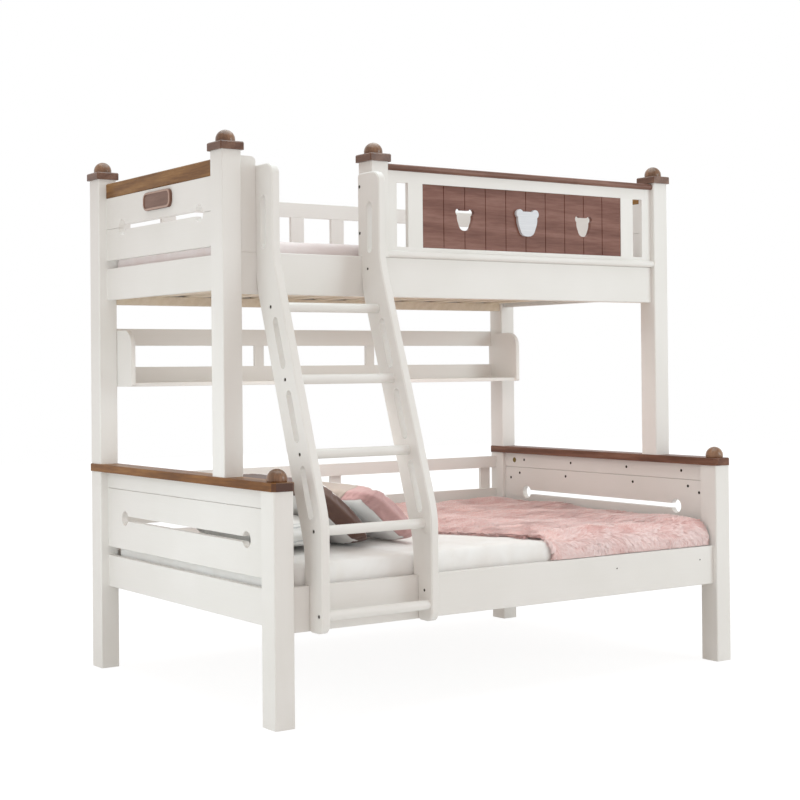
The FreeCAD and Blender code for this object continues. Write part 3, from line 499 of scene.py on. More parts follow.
def fur_pile():
    """Long dusty pink pile: deep at the root and pale at the tip, in uneven clumps."""
    material, tree, bsdf = new_material("pink fur pile", Sheen_Weight=0.6,
                                        Sheen_Roughness=0.35, Specular_IOR_Level=0.2)
    tuft = attribute(tree, "tuft")
    cloud = noise(tree, object_place(tree), 7.0, 3.0)
    along = ramp(tree, attribute(tree, "tip"), (0.0, display(240, 202, 196)),
                 (0.45, display(254, 229, 225)), (1.0, display(255, 240, 238)))
    # Darker patches where cloud and tuft value are low; the tuft value carries the painted
    # highlight of the hanging part, which comes out paler
    patch = spread(tree, combine(tree, "ADD", cloud, tuft), (0.55, 1.35), (0.75, 0))
    colour = mix(tree, patch, along, display(230, 172, 165))
    feed(tree, bsdf, colour, spread(tree, tuft, target=(0.55, 0.8)))
    return material


def fur_backing():
    """Knitted backing of the throw, seen only between the tufts and from below."""
    material, tree, bsdf = new_material("pink fur backing", Sheen_Weight=0.3)
    cloth = placed(tree, WEAVE, {"Vector": object_place(tree), "Threads": 90.0})
    colour = ramp(tree, cloth.outputs["Uneven"], (0.35, display(240, 206, 200)),
                  (0.65, display(248, 218, 213)))
    rough = spread(tree, cloth.outputs["Uneven"], target=(0.8, 0.95))
    feed(tree, bsdf, colour, rough, cloth.outputs["Thread"], 0.3, 0.001)
    return material


def dull_steel_with_painted_shade():
    """Plated steel in a dark, uneven tone: partly the steel's own dull colour, partly painted
    shade for the counterbores where the bolt heads sit.
    """
    material, tree, bsdf = new_material("dull steel with painted shade", Metallic=1.0)
    cloud = noise(tree, object_place(tree), 220.0, 2.0)
    # Painted shade: the steel's colour is kept dark all over
    colour = ramp(tree, cloud, (0.3, display(52, 47, 42)), (0.7, display(92, 86, 78)))
    feed(tree, bsdf, colour, spread(tree, cloud, target=(0.3, 0.5)))
    return material


def hole_bottom_wood_and_shade(name, dark, light):
    """Bottom of a bored hole, speckled between a dark and a light colour, and rough. Near-black
    colours are painted shade for the depth of a hole; lighter ones are bare wood.
    """
    material, tree, bsdf = new_material(name, Specular_IOR_Level=0.1)
    speckle = noise(tree, object_place(tree), 900.0, 2.0)
    feed(tree, bsdf, ramp(tree, speckle, (0.35, dark), (0.65, light)),
         spread(tree, speckle, target=(0.8, 1.0)))
    return material


# Joinery


def dress_joinery():
    """Gives every piece of the frame its paint or wood, with the grain along it."""
    white = {axis: white_paint("white paint along " + axis, turn)
             for axis, turn in (("x", ALONG_X), ("y", ALONG_Y), ("z", ALONG_Z))}
    golden = brown_wood("golden brown cap plank", ALONG_Y, display(98, 58, 16),
                        display(124, 78, 28), display(148, 102, 46),
                        end=("Y", display(86, 62, 54)))
    umber = brown_wood("umber cap plank", ALONG_Y, display(92, 60, 46),
                       display(112, 76, 60), display(132, 96, 78))
    tawny = brown_wood("tawny top board", ALONG_Y, display(108, 68, 24),
                       display(136, 94, 44), display(160, 120, 70),
                       coat=0.12)
    nutty = brown_wood("nut brown block", ALONG_Y, display(90, 60, 46),
                       display(108, 76, 60), display(124, 92, 74), coat=0.3)
    # The plaque's raised border, 2 mm in from its front, with a lighter colour painted on it as a
    # highlight
    border = (box_of("plaque")[0][0] + 0.002, display(176, 146, 132))
    raised = brown_wood("plaque wood with painted highlight", ALONG_Y, display(104, 74, 62),
                        display(116, 84, 70), display(130, 98, 84), coat=0.2, highlight_rim=border)
    red = brown_wood("reddish panel", ALONG_X, display(104, 64, 52),
                     display(123, 81, 68), display(140, 100, 87), 6.0)
    rail = brown_wood("brown guard cap", ALONG_X, display(106, 74, 62),
                      display(128, 94, 81), display(144, 110, 96))
    pine = bare_pine("bare pine laths", ALONG_Y)
    along_x = ("guard_bar", "guard_rail", "upper_back_rail", "lower_back_guard",
               "shelf_board", "shelf_back", "lower_rail_front", "lower_rail_rear",
               "upper_rail_front", "upper_rail_rear", "ladder_rungs")
    along_y = [f"{part[0]}_{end}_{part[1]}" for end in ("head", "foot") for part in (
        ("lower", "end_rail"), ("upper", "end_rail"), ("lower", "top_board"),
        ("lower", "slotted_panel"), ("upper", "slotted_boards"))]
    other = {"cap_left": golden, "cap_right": umber, "upper_head_top_board": tawny,
             "upper_foot_top_board": tawny, "cap_blocks": nutty, "guard_cap": rail,
             "guard_panel": red, "plaque": raised, "cleats": pine, "lower_laths": pine,
             "upper_laths": pine, "bear_badge": badge_paint()}
    replaced = ("lower_mattress", "upper_mattress", "cushion_flat", "cushion_brown",
                "cushion_pink", "fur_throw", "cap_balls")
    for name, piece in NODES.items():
        if name in replaced:
            continue
        finish = other.get(name)
        if finish is None:
            axis = "x" if name in along_x else "y" if name in along_y else "z"
            finish = white[axis]
        piece.data.materials.clear()
        piece.data.materials.append(finish)


# Mattresses


def mattress(name, cad, body, material, crown, folds, seed, fuller=0.0):
    """Mattress under a fitted sheet. The outline is a rectangle with round corners. The
    side profile is a squared ellipse, the top rises to a low crown, and the top and
    sides wave by a few sines as a sheet pulled over foam does. Fuller raises the top."""
    low, high = box_of(cad)
    high = high + [0, 0, fuller]
    half = (high - low) / 2
    centre = (high + low) / 2
    columns = 360
    outline, outward = rounded_rectangle(half[0], half[1], MATTRESS_CORNER, columns)
    swing = np.linspace(-math.pi / 2, math.pi / 2, 34)
    lift = np.sign(np.sin(swing)) * np.abs(np.sin(swing)) ** 0.7
    draw_in = DRAW_IN * (1 - np.abs(np.cos(swing)) ** 0.55)
    side_height = half[2] - crown / 2
    inner = 1 - np.linspace(0, 1, 40)[1:] ** 1.15
    rng = np.random.default_rng(seed)
    phase = rng.uniform(0, TURN, 8)
    rows = []
    for inset, rise in zip(draw_in, lift):
        plane = outline - outward * inset
        z = np.full(columns, -crown / 2 + side_height * rise)
        rows.append(np.column_stack([plane, z]))
    edge = outline - outward * draw_in[-1]
    for scale in inner:
        plane = edge * scale
        rise = crown * (1 - scale ** 6)
        rows.append(np.column_stack([plane, np.full(columns, side_height - crown / 2 + rise)]))
    under = [np.column_stack([edge * scale, np.full(columns, -side_height - crown / 2)])
             for scale in np.linspace(0, 1, 10)[:-1]]
    grid = np.array(under + rows)
    across = grid[..., 0]
    deep = grid[..., 1]
    top = smooth_step(0.0, 1.0, grid[..., 2] / half[2])
    ripple = (np.sin(9 * across + 3 * deep + phase[0]) * np.sin(4 * deep - 5 * across + phase[1])
              + 0.6 * np.sin(21 * across - 7 * deep + phase[2])
              * np.sin(11 * deep + phase[3]))
    drag = np.sin(47 * across + 5 * np.sin(6 * across + phase[4]) + phase[5])
    normal = grid_normals(grid)
    on_side = (1 - top) * smooth_step(-1.0, -0.4, grid[..., 2] / half[2])
    push = folds * (0.5 * ripple * top + 0.45 * drag * on_side) - 0.7 * folds
    grid = grid + normal * push[..., None]
    made = surface(name, grid + centre, poles=(True, True))[0]
    return settle(made, body, "mattress_cloth", material, cad)


# Cushions


def cushion_form(half_a, half_b, thickness, rings=26, columns=220):
    """Pillow about the origin. The outline is a rectangle whose sides pull in between
    its corners. The height over it falls to the seam as a squared ellipse does, with
    shallow pleats that run in from the seam."""
    at = np.linspace(0, TURN, columns, endpoint=False)
    power = 0.42
    x = np.sign(np.cos(at)) * np.abs(np.cos(at)) ** power
    y = np.sign(np.sin(at)) * np.abs(np.sin(at)) ** power
    outline = np.stack([half_a * x * (1 - PULL * (1 - y ** 2)),
                        half_b * y * (1 - PULL * (1 - x ** 2))], -1)
    scale = np.sin(np.linspace(0, math.pi / 2, rings))[:, None]
    pleat = 0.5 + 0.5 * np.sin(31 * at + 2.4 * np.sin(7 * at))[None]
    height = thickness / 2 * np.sqrt(np.maximum(1 - scale ** 2.6, 0)) ** 1.15
    height = height * (1 - 0.16 * scale ** 5 * pleat)
    upper = np.concatenate([outline[None] * scale[..., None], height[..., None]], -1)
    lower = upper[::-1][1:] * np.array([1, 1, -1])
    return np.concatenate([upper, lower])[::-1]


def bend_over(plane, start, bend, half_a):
    """Curls the top of a cushion back: past start its middle plane follows a circle that
    has turned by bend at its top edge, and thickness stays square to it."""
    curve = math.radians(bend) / (half_a + start)
    past = np.minimum(plane[:, 0] - start, 0)
    angle = curve * past
    along = np.where(past < 0, np.sin(angle) / curve, plane[:, 0] - start)
    down = (1 - np.cos(angle)) / curve
    return np.stack([start + along + plane[:, 2] * np.sin(-angle), plane[:, 1],
                     plane[:, 2] * np.cos(angle) - down], -1)


def cushion(cad, material, size, lean, curl=None):
    """Cushion of a width, length and thickness, blown up by a short cloth simulation,
    curled at its top where asked, then turned to lean in its own box. Curl gives where
    the bend starts and its degrees."""
    half_a, half_b = size[0] / 2, size[1] / 2
    made = surface(cad + "_cover", cushion_form(half_a, half_b, size[2]),
                   poles=(True, True))[0]
    flat = inflate(made, SWELL)
    plane = points_of(made)
    bent = bend_over(plane, *curl, half_a) if curl else plane
    turn = np.array(Matrix.Rotation(math.radians(lean), 3, "Y"))
    low, high = box_of(cad)
    there = bent @ turn.T
    foot = np.array([high[0] - there[:, 0].max(), (low[1] + high[1]) / 2 + SET_BACK,
                     low[2] + 0.001 - there[:, 2].min()])
    made.data.vertices.foreach_set("co", (there + foot).ravel())
    made.data.update()
    cover_map(made, flat, half_a, half_b)
    return settle(made, "lower_bedding", "cushion_cloth", material, cad)


def points_of(made):
    """The points of a mesh object as rows of an array."""
    flat = np.empty(len(made.data.vertices) * 3)
    made.data.vertices.foreach_get("co", flat)
    return flat.reshape(-1, 3)


def cover_map(made, plane, half_a, half_b):
    """Map of the cover in metres, its distance in from the seam, and how far past the
    slanting joins at its corners a long side's band begins, as attributes that follow
    the cloth."""
    a, b = plane[:, 0], plane[:, 1]
    gap_a = half_a * (1 - PULL * (1 - (b / half_b) ** 2)) - np.abs(a)
    gap_b = half_b * (1 - PULL * (1 - (a / half_a) ** 2)) - np.abs(b)
    point_attribute(made, "inset", np.minimum(gap_a, gap_b))
    point_attribute(made, "long_side", (gap_b - gap_a - CORNER_JOIN) / math.sqrt(2))
    layer = made.data.uv_layers.new(name="cover")
    corner = np.empty(len(made.data.loops), int)
    made.data.loops.foreach_get("vertex_index", corner)
    layer.data.foreach_set("uv", plane[corner, :2].ravel())


def inflate(made, cap):
    """Blows a cushion up a little with cloth, no point moving further than cap, and
    gives back where its points were."""
    remesh = made.modifiers.new("even cloth", "REMESH")
    remesh.mode = "VOXEL"
    remesh.voxel_size = 0.006
    bake(made)
    start = points_of(made)
    cloth = made.modifiers.new("cloth", "CLOTH")
    cloth.settings.use_pressure = True
    cloth.settings.uniform_pressure_force = 4.0
    cloth.settings.tension_stiffness = 12.0
    cloth.settings.effector_weights.gravity = 0.0
    scene = bpy.context.scene
    for step in range(1, 21):
        scene.frame_set(step)
    bake(made)
    scene.frame_set(1)
    move = points_of(made) - start
    size = np.linalg.norm(move, axis=1, keepdims=True)
    move *= np.minimum(1, cap / np.maximum(size, 1e-9))
    made.data.vertices.foreach_set("co", (start + move).ravel())
    made.data.polygons.foreach_set("use_smooth", np.full(len(made.data.polygons), True))
    made.data.update()
    return start


def bake(made):
    """Applies the modifiers of an object to its mesh."""
    bpy.context.view_layer.update()
    evaluated = made.evaluated_get(bpy.context.evaluated_depsgraph_get())
    mesh = bpy.data.meshes.new_from_object(evaluated)
    made.modifiers.clear()
    old = made.data
    made.data = mesh
    bpy.data.meshes.remove(old)


# Throw

# The cut-off corner, the radius of the roll over the mattress's edge, the room in front
# of the part that hangs, the room under it and at its left and right edges, how far these
# edges sink, and over what width the right one does
CUT_X, CUT_Y = 0.255, 0.40
ROLL = 0.062
ROOM = 0.018
ROOM_UNDER = 0.004
ROOM_LEFT, ROOM_RIGHT = 0.012, 0.006
SINK, SINK_WIDTH = 0.008, 0.05

BACKING = 0.006
CLUMP = 0.03
PILE_PARTS = 3
TUFTS, QUICK_TUFTS, QUICK_WIDER = 52000, 12000, 1.6
LENGTHS, RISES, WIDTHS = (0.018, 0.034), (0.08, 0.34), (0.0009, 0.0018)


def throw_path(t, low, high, top):
    """Point along the throw from its back edge (t 0) over the mattress's front edge to
    the hem (t 1): a level run, a quarter circle and a straight drop, by length."""
    front = low[1] + ROOM
    level = high[1] - (front + ROLL)
    arc = ROLL * math.pi / 2
    drop = top - ROLL - low[2]
    total = level + arc + drop
    run = t * total
    turn = np.clip((run - level) / ROLL, 0, math.pi / 2)
    y = high[1] - np.minimum(run, level) - ROLL * np.sin(turn)
    z = top - ROLL * (1 - np.cos(turn)) - np.maximum(run - level - arc, 0)
    outward = np.stack([np.zeros_like(turn), -np.sin(turn), np.cos(turn)], -1)
    return y, z, outward, run


def throw_places(s, t, low, high):
    """Places on the throw: s runs from its left edge to its right, t from back to hem.
    The left edge draws in towards the front left corner, which is cut off aslant, and
    the left and right edges sink a little. Low waves run over the rest."""
    top = box_of("lower_mattress")[1][2] + ROOM_UNDER
    y, z, outward, run = throw_path(t, low, high, top)
    reach = np.clip(1 - (y - low[1]) / CUT_Y, 0, 1)
    left = low[0] + ROOM_LEFT + CUT_X * reach + 0.008 * np.sin(19 * run + 1)
    x = left + s * (high[0] - ROOM_RIGHT - left)
    wave = (0.005 + 0.005 * np.sin(13 * x + 5 * y) + 0.003 * np.sin(29 * x - 11 * y + 2)
            + 0.003 * np.sin(4 * x + 17 * y))
    wave = wave + 0.007 * smooth_step(high[1] - 0.3, high[1], y) * smooth_step(high[0], low[0], x)
    edge = np.clip((x - high[0] + SINK_WIDTH) / SINK_WIDTH, 0, 1)
    level = outward[..., 2]
    lift = np.maximum(wave, -0.001) * (0.35 + 0.65 * level) - SINK * edge ** 2 * level
    inner = smooth_step(0, 0.06, x - left)
    lift = lift * inner - SINK * (1 - inner) * level
    y = y + lift * outward[..., 1]
    z = z + lift * outward[..., 2]
    return x, y, z, outward, run


def throw():
    """Fur throw: a soft backing over the foot half of the mattress and its front edge,
    and thousands of bent tufts on it."""
    low, high = box_of("fur_throw")
    rows, columns = 150, 120
    s = np.linspace(0, 1, columns)[None, :] * np.ones((rows, 1))
    t = np.linspace(0, 1, rows)[:, None] * np.ones((1, columns))
    x, y, z, outward, _ = throw_places(s, t, low, high)
    top = np.stack([x, y, z], -1) + outward * BACKING
    backing = surface("fur_throw_backing", top[:, ::-1], around=False)[0]
    cloth = backing.modifiers.new("cloth thickness", "SOLIDIFY")
    cloth.thickness = BACKING
    cloth.offset = -1
    settle(backing, "lower_bedding", "fur", fur_backing(), "fur_throw")
    material = fur_pile()
    count = TUFTS
    pile = [settle(fur_tufts(f"fur_throw_pile_{part + 1}", count, 30 + part, low, high),
                   "lower_bedding", "fur", material) for part in range(PILE_PARTS)]


def scatter(cell_x, cell_y, seed):
    """Number from 0 to 1 for each cell of a grid, the same for the same cell."""
    value = np.sin(cell_x * 127.1 + cell_y * 311.7 + seed * 74.7) * 43758.5453
    return value - np.floor(value)


def edge_roots(rng, count):
    """Shares s and t of the tufts' roots, a fifth of them crowded along the four edges,
    and for each the edge that it hangs over, or 4 for none."""
    s = rng.uniform(0, 1, count)
    t = rng.uniform(0, 1, count)
    side = np.where(rng.random(count) < 0.2, rng.choice([0, 0, 1, 2, 3, 3], count), 4)
    near = rng.uniform(0, 0.014, count)
    s = np.choose(side, [near, 1 - near, s, s, s])
    t = np.choose(side, [t, t, near * 0.7, 1 - near * 0.7, t])
    return s, t, side


def fur_tufts(name, count, seed, low, high):
    """Tufts of pile: narrow strips of three faces. Each lies mostly along the bed, turned
    with its clump and drawn towards the clump's middle line, points down where the throw
    hangs, and outwards at the throw's edges."""
    rng = np.random.default_rng(seed)
    s, t, side = edge_roots(rng, count)
    x, y, z, outward, run = throw_places(s, t, low, high)
    depth = np.where(side < 4, rng.uniform(0.0, BACKING, count), BACKING)
    root = np.stack([x, y, z], -1) + outward * depth[:, None]
    # The clump that a tuft belongs to, and the way to that clump's middle line
    along_x = np.array([1.0, 0, 0])
    down = np.stack([np.zeros(count), -outward[:, 2], outward[:, 1]], -1)
    front = 1 - outward[:, 2]
    u = 0.45 * x / CLUMP + 0.4 * np.sin(31 * run + 9 * x)
    v = run / CLUMP + 0.4 * np.sin(17 * x) + 0.25 * np.sin(43 * x + 20 * run)
    cell_x, cell_y = np.floor(u), np.floor(v)
    to_v = cell_y + 0.3 + 0.4 * scatter(cell_x, cell_y, 2) - v
    # The direction in which it lies, which turns outwards where it hangs over an edge
    lie = (1.85 * (1 - front) + 0.25 * np.sin(3.1 * x + 1.2) + 0.25 * np.sin(4.3 * run + 2.1 * x)
           + 0.8 * (scatter(cell_x, cell_y, 3) - 0.5) + rng.normal(0, 0.2, count))
    flow = np.cos(lie)[:, None] * down + np.sin(lie)[:, None] * along_x
    flow = flow + 0.5 * to_v[:, None] * down
    hang = np.choose(side, [-1, 1, 0, 0, 0])[:, None] * along_x
    hang = hang + np.choose(side, [0, 0, -1, 1, 0])[:, None] * down
    flow = flow + 1.2 * hang
    flow /= np.linalg.norm(flow, axis=1, keepdims=True)
    over_edge = np.where(side < 4, rng.uniform(-0.1, 0.45, count), 0)
    flow = flow - over_edge[:, None] * outward
    flow /= np.linalg.norm(flow, axis=1, keepdims=True)
    # Its strip: four places along it, their lift off the throw and their share of width
    tall = 0.8 + 0.4 * scatter(cell_x, cell_y, 4)
    length = rng.uniform(*LENGTHS, count) * (0.8 + 0.35 * tall)
    rise = rng.uniform(*RISES, count) * tall
    width = rng.uniform(*WIDTHS, count) * 1
    sideways = np.cross(flow, outward)
    steps = np.array([0.0, 0.45, 0.8, 1.0])
    lifts = np.array([0.0, 0.5, 0.62, 0.45])
    thick = np.array([1.0, 0.95, 0.6, 0.0])
    spine = (root[:, None] + flow[:, None] * (length[:, None] * steps)[..., None]
             + outward[:, None] * (length[:, None] * rise[:, None] * lifts)[..., None])
    half = sideways[:, None] * (width[:, None] * thick)[..., None]
    left, right = spine - half, spine + half
    points = np.concatenate([left[:, :3], right[:, :3], spine[:, 3:]], axis=1)
    points = np.clip(points, low + [0.001, 0.001, -0.008], high + [-0.001, -0.001, 0.01])
    first = np.arange(count)[:, None] * 7
    quads = np.concatenate([first + [0, 3, 4, 1], first + [1, 4, 5, 2]])
    tips = first + [2, 5, 6]
    made, used = mesh_object(name, points.reshape(-1, 3), [quads, tips])
    point_attribute(made, "tip", np.tile([0, 0.45, 0.8, 0, 0.45, 0.8, 1.0], count)[used])
    # Its tone, uneven by tuft and by clump, and paler on the part that hangs, a painted highlight
    # where the throw rolls over the edge and drops
    hung_highlight = smooth_step(0.05, 0.6, front)
    shade = (0.45 * rng.random(count) + 0.4 * scatter(cell_x, cell_y, 5)
             + hung_highlight * (0.25 + 0.4 * scatter(cell_x, cell_y, 6)))
    point_attribute(made, "tuft", np.repeat(shade, 7)[used])
    return made


# Turned pieces

# Half the depth of a post, as the guard post's box also holds the tail behind it, the
# radius of a ball, and how high its middle lies over its foot
HALF_POST = 0.044
BALL_RADIUS, BALL_RISE = 0.035, 0.009


def turned(name, places, outward, profile, columns, six_sided=()):
    """The same turned piece at many places, closed at both ends. The profile gives the
    radius and the height of each ring, and outward is the direction of its height. On a
    six-sided ring the radius grows by 1/cos towards each of six corners."""
    outward = np.array(outward, float)
    level = np.array([0.0, 0.0, 1.0]) if abs(outward[2]) < 0.5 else np.array([1.0, 0, 0])
    beside = np.cross(level, outward)
    level = np.cross(outward, beside)
    at = np.linspace(0, TURN, columns, endpoint=False)
    radius, height = np.array(profile).T
    rings = np.repeat(radius[:, None], columns, 1)
    for row in six_sided:
        rings[row] = rings[row] / np.cos((at + TURN / 12) % (TURN / 6) - TURN / 12)
    one = (rings[..., None] * (np.cos(at)[:, None] * beside + np.sin(at)[:, None] * level)
           + height[:, None, None] * outward)
    rows = len(profile)
    points = np.concatenate([(one + np.array(place)).reshape(-1, 3) for place in places])
    faces = []
    for i in range(len(places)):
        faces += grid_faces(rows, columns, poles=(True, True), offset=i * rows * columns)
    return mesh_object(name, points, faces)[0]


def turned_balls(material):
    """Balls turned from wood: circles whose radius follows the angle from the top, cut
    flat where they stand."""
    block_top = box_of("cap_blocks")[1][2]
    plank_top = box_of("cap_left")[1][2]
    places = []
    for name in ("upper_post_front_left", "upper_post_front_right", "upper_post_rear_left",
                 "upper_post_rear_right", "guard_post", "lower_post_front_left",
                 "lower_post_front_right"):
        low, high = box_of(name)
        middle = (low + high) / 2
        if name == "guard_post":
            middle[1] = low[1] + HALF_POST
        places.append((middle[0], middle[1],
                       plank_top if name.startswith("lower") else block_top))
    angle = np.linspace(math.pi / 2 + math.asin(BALL_RISE / BALL_RADIUS), 0, 30)
    profile = [(0, 0)] + list(zip(BALL_RADIUS * np.sin(angle),
                                  BALL_RISE + BALL_RADIUS * np.cos(angle)))
    made = turned("turned_balls", places, (0, 0, 1), profile, 56)
    return settle(made, "bed_frame", "brown_wood", material, "cap_balls")


# Radius and height of each ring of a bolt head, a dowel's end and an open hole, the last
# with its radius as a share of the hole's, and the rings of a bolt head's socket
BOLT_HEAD = [(0, -0.0088), (0.0058, -0.0088), (0.0062, -0.0084), (0.0062, -0.0026),
             (0.0057, -0.0014), (0.0048, -0.0008), (0.003, -0.0006), (0.0027, -0.0008),
             (0.0027, -0.0044), (0, -0.0046)]
DOWEL_END = [(0, -0.001), (0.005, -0.001), (0.005, 0.0003), (0.0046, 0.0005),
             (0.0024, 0.0005), (0.002, 0.0002), (0, 0.0002)]
OPEN_HOLE = [(0, -0.001), (1.0, -0.001), (1.0, 0.0002), (0.86, 0.0004), (0.7, 0.0002),
             (0, 0.0001)]
SOCKET_ROWS = (7, 8)

# The ladder's bolts and dowels: the least gap in height between two rungs, the tongue
# bolts below a stile's top, and the dowels in front of a rail and above its lower edge
RUNG_GAP = 0.05
TONGUE_DROPS = (0.05, 0.222)
DOWEL_AHEAD = 0.04
DOWEL_RISES = {"upper_rail_front": 0.099, "lower_rail_front": 0.104}

# Bare holes. In the foot end: the height of each row and how far its holes lie behind the
# front post's face, and the same for the wide hole. In the front rail: how far they lie
# from the head end, and their height. Then the three radii.
HOLE_ROWS = {0.756: (1.24, 0.909, 0.544, 0.213), 0.694: (1.273, 0.945, 0.505, 0.175),
             0.67: (1.339, 0.112)}
WIDE_HOLE_BACK, WIDE_HOLE_UP = 1.312, 0.753
RAIL_HOLES_ALONG, RAIL_HOLES_UP = (1.527, 1.972), 0.413
HOLE_RADIUS, WIDE_HOLE_RADIUS, RAIL_HOLE_RADIUS = 0.006, 0.012, 0.003


def open_holes(name, places, outward, radius, material):
    """Rims and dark bottoms of bored holes, shallow dishes on the face of a board; a near-black
    bottom is painted shade for the hole's depth.
    """
    profile = [(share * radius, height) for share, height in OPEN_HOLE]
    made = turned(name, places, outward, profile, 20)
    return settle(made, "bed_frame", "white_paint", material)


def fasteners():
    """Bolt heads in the stiles' recesses, dowel ends where bolts cross the stiles, and the
    bare screw holes of the foot end and the front rail."""
    steel = dull_steel_with_painted_shade()
    spots = points_of(NODES["ladder_rungs"])
    order = spots[np.argsort(spots[:, 2])]
    rungs = np.split(order, np.where(np.diff(order[:, 2]) > RUNG_GAP)[0] + 1)
    centres = [(r.min(axis=0) + r.max(axis=0)) / 2 for r in rungs]
    board = np.mean(box_of("short_board"), axis=0)
    dowels = [(box_of(rail)[0][1] - DOWEL_AHEAD, box_of(rail)[0][2] + rise)
              for rail, rise in DOWEL_RISES.items()]
    made = []
    for side, way in (("left", -1), ("right", 1)):
        stile = box_of("ladder_stile_" + side)
        outer, inner = (stile[0][0], stile[1][0]) if way < 0 else (stile[1][0], stile[0][0])
        rung_bolts = [(outer, c[1], c[2]) for c in centres]
        tongue_bolts = [(inner, board[1], stile[1][2] - drop) for drop in TONGUE_DROPS]
        made.append(turned(f"rung_bolts_{side}", rung_bolts, (way, 0, 0), BOLT_HEAD, 24,
                           SOCKET_ROWS))
        made.append(turned(f"tongue_bolts_{side}", tongue_bolts, (-way, 0, 0), BOLT_HEAD,
                           24, SOCKET_ROWS))
        made.append(turned(f"cross_dowels_{side}", [(inner, y, z) for y, z in dowels],
                           (-way, 0, 0), DOWEL_END, 20))
    for piece in made:
        settle(piece, "bed_frame", "white_paint", steel)
    bare_screw_holes()


def bare_screw_holes():
    """Three rows of small holes and one wide one inside the foot end, and two small ones
    in the front rail."""
    # Near-black painted shade for the bottoms of the small holes
    shadow = hole_bottom_wood_and_shade("bored hole", display(30, 24, 20), display(58, 48, 40))
    worn = hole_bottom_wood_and_shade("wide bored hole", display(104, 88, 48), display(150, 134, 84))
    inner = box_of("lower_foot_slotted_panel")[0][0]
    front = box_of("lower_post_front_right")[0][1]
    small = [(inner, front + y, z) for z, row in HOLE_ROWS.items() for y in row]
    open_holes("foot_end_holes", small, (-1, 0, 0), HOLE_RADIUS, shadow)
    open_holes("foot_end_wide_hole", [(inner, front + WIDE_HOLE_BACK, WIDE_HOLE_UP)],
               (-1, 0, 0), WIDE_HOLE_RADIUS, worn)
    face = box_of("lower_rail_front")[0][1]
    left = box_of("lower_post_front_left")[0][0]
    open_holes("front_rail_holes",
               [(left + x, face, RAIL_HOLES_UP) for x in RAIL_HOLES_ALONG],
               (0, -1, 0), RAIL_HOLE_RADIUS, shadow)


# Camera, light and stage

# The camera's turn, tilt and roll in degrees, its place, and its focal length, sensor
# width and upward shift
CAMERA_TURNS = (34.62, -0.54, -0.51)
CAMERA_PLACE = (-3.6754, -5.2305, 1.1925)
FOCAL_LENGTH, SENSOR_WIDTH, SHIFT = 71.296, 36, -0.0594

# The floor's half width and its distance below the feet, the white that the camera sees,
# and the warm and cool light on the bed
FLOOR_HALF, FLOOR_DROP = 14, 0.0005
WHITE, WHITE_STRENGTH = (1, 1, 1, 1), 1.12
WARM, WARM_STRENGTH = (1.0, 0.865, 0.805, 1), 0.6
COOL = (0.78, 0.95, 1.0)


def camera():
    """Camera at the photograph's viewing angle, from its fitted turn, tilt and roll."""
    yaw, pitch, roll = (math.radians(v) for v in CAMERA_TURNS)
    forward = np.array([math.sin(yaw) * math.cos(pitch), math.cos(yaw) * math.cos(pitch),
                        -math.sin(pitch)])
    level = np.array([math.cos(yaw), -math.sin(yaw), 0])
    above = np.cross(level, forward)
    right = math.cos(roll) * level + math.sin(roll) * above
    up = -math.sin(roll) * level + math.cos(roll) * above
    lens = bpy.data.cameras.new("camera")
    lens.sensor_width = SENSOR_WIDTH
    lens.lens = FOCAL_LENGTH
    lens.shift_y = SHIFT
    made = bpy.data.objects.new("camera", lens)
    place = Matrix([right, up, -forward]).transposed().to_4x4()
    place.translation = Vector(CAMERA_PLACE)
    made.matrix_world = place
    bpy.context.scene.collection.objects.link(made)
    bpy.context.scene.camera = made


def softbox(name, place, target, size, power, colour=(1, 1, 1), seen=True):
    """Soft rectangular lamp at a place, turned to a target. Unseen ones only fill in."""
    light = bpy.data.lights.new(name, "AREA")
    light.shape = "RECTANGLE"
    light.size, light.size_y = size
    light.energy = power
    light.color = colour
    made = bpy.data.objects.new(name, light)
    made.location = place
    aim = Vector(target) - Vector(place)
    made.rotation_euler = aim.to_track_quat("-Z", "Y").to_euler()
    made.visible_camera = seen
    made.visible_glossy = seen
    bpy.context.scene.collection.objects.link(made)


def white_rays(tree):
    """1 for rays from the camera, gloss and glass, 0 for the rest."""
    light = node(tree, "LightPath")
    seen = combine(tree, "ADD", light.outputs["Is Camera Ray"],
                   light.outputs["Is Glossy Ray"], clamp=True)
    return combine(tree, "ADD", seen, light.outputs["Is Transmission Ray"], clamp=True)


def white_to_camera(tree, shader, output, share):
    """Adds plain white to a shader where the camera, gloss or glass looks at it."""
    plain = node(tree, "Emission", {"Color": WHITE, "Strength": WHITE_STRENGTH})
    blend = node(tree, "MixShader", {"Fac": combine(tree, "MULTIPLY", white_rays(tree), share)})
    tree.links.new(shader, blend.inputs[1])
    tree.links.new(plain.outputs[0], blend.inputs[2])
    tree.links.new(blend.outputs[0], output)


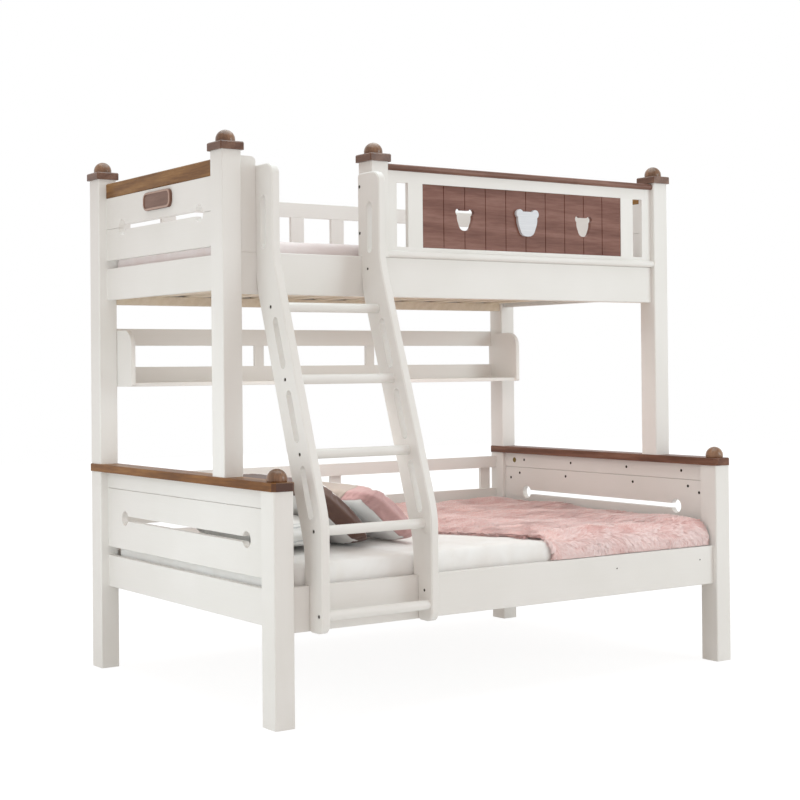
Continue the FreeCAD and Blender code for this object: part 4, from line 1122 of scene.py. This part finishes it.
def studio():
    """Pale floor that stays white to the camera but keeps a soft shadow under the bed,
    a world that is white to the camera and warm to the bed, and soft lamps: one above,
    one to the left, one in front on the right and three weak ones that fill the shade."""
    corners = np.array([[(x, y, -FLOOR_DROP) for x in (-FLOOR_HALF, FLOOR_HALF)]
                        for y in (-FLOOR_HALF, FLOOR_HALF)])
    floor = surface("floor", corners, around=False)[0]
    material, tree, bsdf = new_material("pale floor", Roughness=0.9)
    bsdf.inputs["Base Color"].default_value = (0.9, 0.9, 0.9, 1)
    output = tree.nodes["Material Output"]
    away = node(tree, "VectorMath", {0: node(tree, "TexCoord").outputs["Object"]},
                operation="LENGTH").outputs["Value"]
    share = spread(tree, away, (1.2, 3.5), (0.8, 1.0))
    white_to_camera(tree, bsdf.outputs[0], output.inputs["Surface"], share)
    floor.data.materials.append(material)
    world = bpy.data.worlds.new("studio")
    world.use_nodes = True
    bpy.context.scene.world = world
    tree = world.node_tree
    back = tree.nodes["Background"]
    seen = white_rays(tree)
    tree.links.new(mix(tree, seen, WARM, WHITE), back.inputs["Color"])
    tree.links.new(spread(tree, seen, target=(WARM_STRENGTH, 1.0)), back.inputs["Strength"])
    softbox("overhead softbox", (0, 0, 5.0), (0, 0.001, 0.8), (4.5, 4.5), 132, COOL)
    softbox("left softbox", (-2.5, -0.2, 0.9), (-0.9, 0, 0.7), (1.5, 1.8), 12, COOL, False)
    softbox("front right softbox", (3.4, -4.6, 2.2), (0.9, -0.4, 1.0), (2.6, 2.6), 76, COOL)
    softbox("front fill", (-3.0, -5.8, 1.5), (0, 0, 0.9), (3.0, 2.4), 23, seen=False)
    softbox("bunk fill", (0.1, 0.1, 1.36), (0.1, 0.101, 0.5), (1.6, 0.5), 4.0, seen=False)
    softbox("head fill", (-0.8, -0.4, 0.98), (-0.5, -0.1, 0.65), (0.3, 0.2), 0.8, seen=False)


# Assembly


def dress():
    """Gives the frame its finishes and adds the soft goods, balls and fasteners."""
    dress_joinery()
    sheet = cotton("cream fitted sheet", display(242, 241, 239), display(235, 232, 228))
    blush = cotton("pale blush sheet", display(236, 226, 225), display(230, 216, 214))
    mattress("lower_mattress_sheet", "lower_mattress", "lower_bedding", sheet,
             crown=0.012, folds=0.0035, seed=3)
    mattress("upper_mattress_sheet", "upper_mattress", "upper_bedding", blush,
             crown=0.004, folds=0.003, seed=5, fuller=0.011)
    cushion("cushion_flat", striped_cotton("striped white cotton"),
            size=(0.30, 0.68, 0.09), lean=0)
    cushion("cushion_brown", cover_cotton("brown bordered cotton", display(99, 75, 66),
                                          display(85, 65, 62)),
            size=(0.40, 0.69, 0.1), lean=42, curl=(-0.02, 16))
    cushion("cushion_pink", cover_cotton("pink bordered cotton", display(205, 165, 163),
                                         display(188, 175, 164)),
            size=(0.35, 0.69, 0.1), lean=42, curl=(-0.025, 30))
    throw()
    ball_wood = brown_wood("turned ball wood", ALONG_Z, display(104, 72, 48),
                           display(130, 94, 68), display(154, 118, 90), 7.0,
                           coat=0.6)
    turned_balls(ball_wood)
    fasteners()


dress()
camera()
studio()
bpy.context.scene.view_settings.view_transform = "Standard"
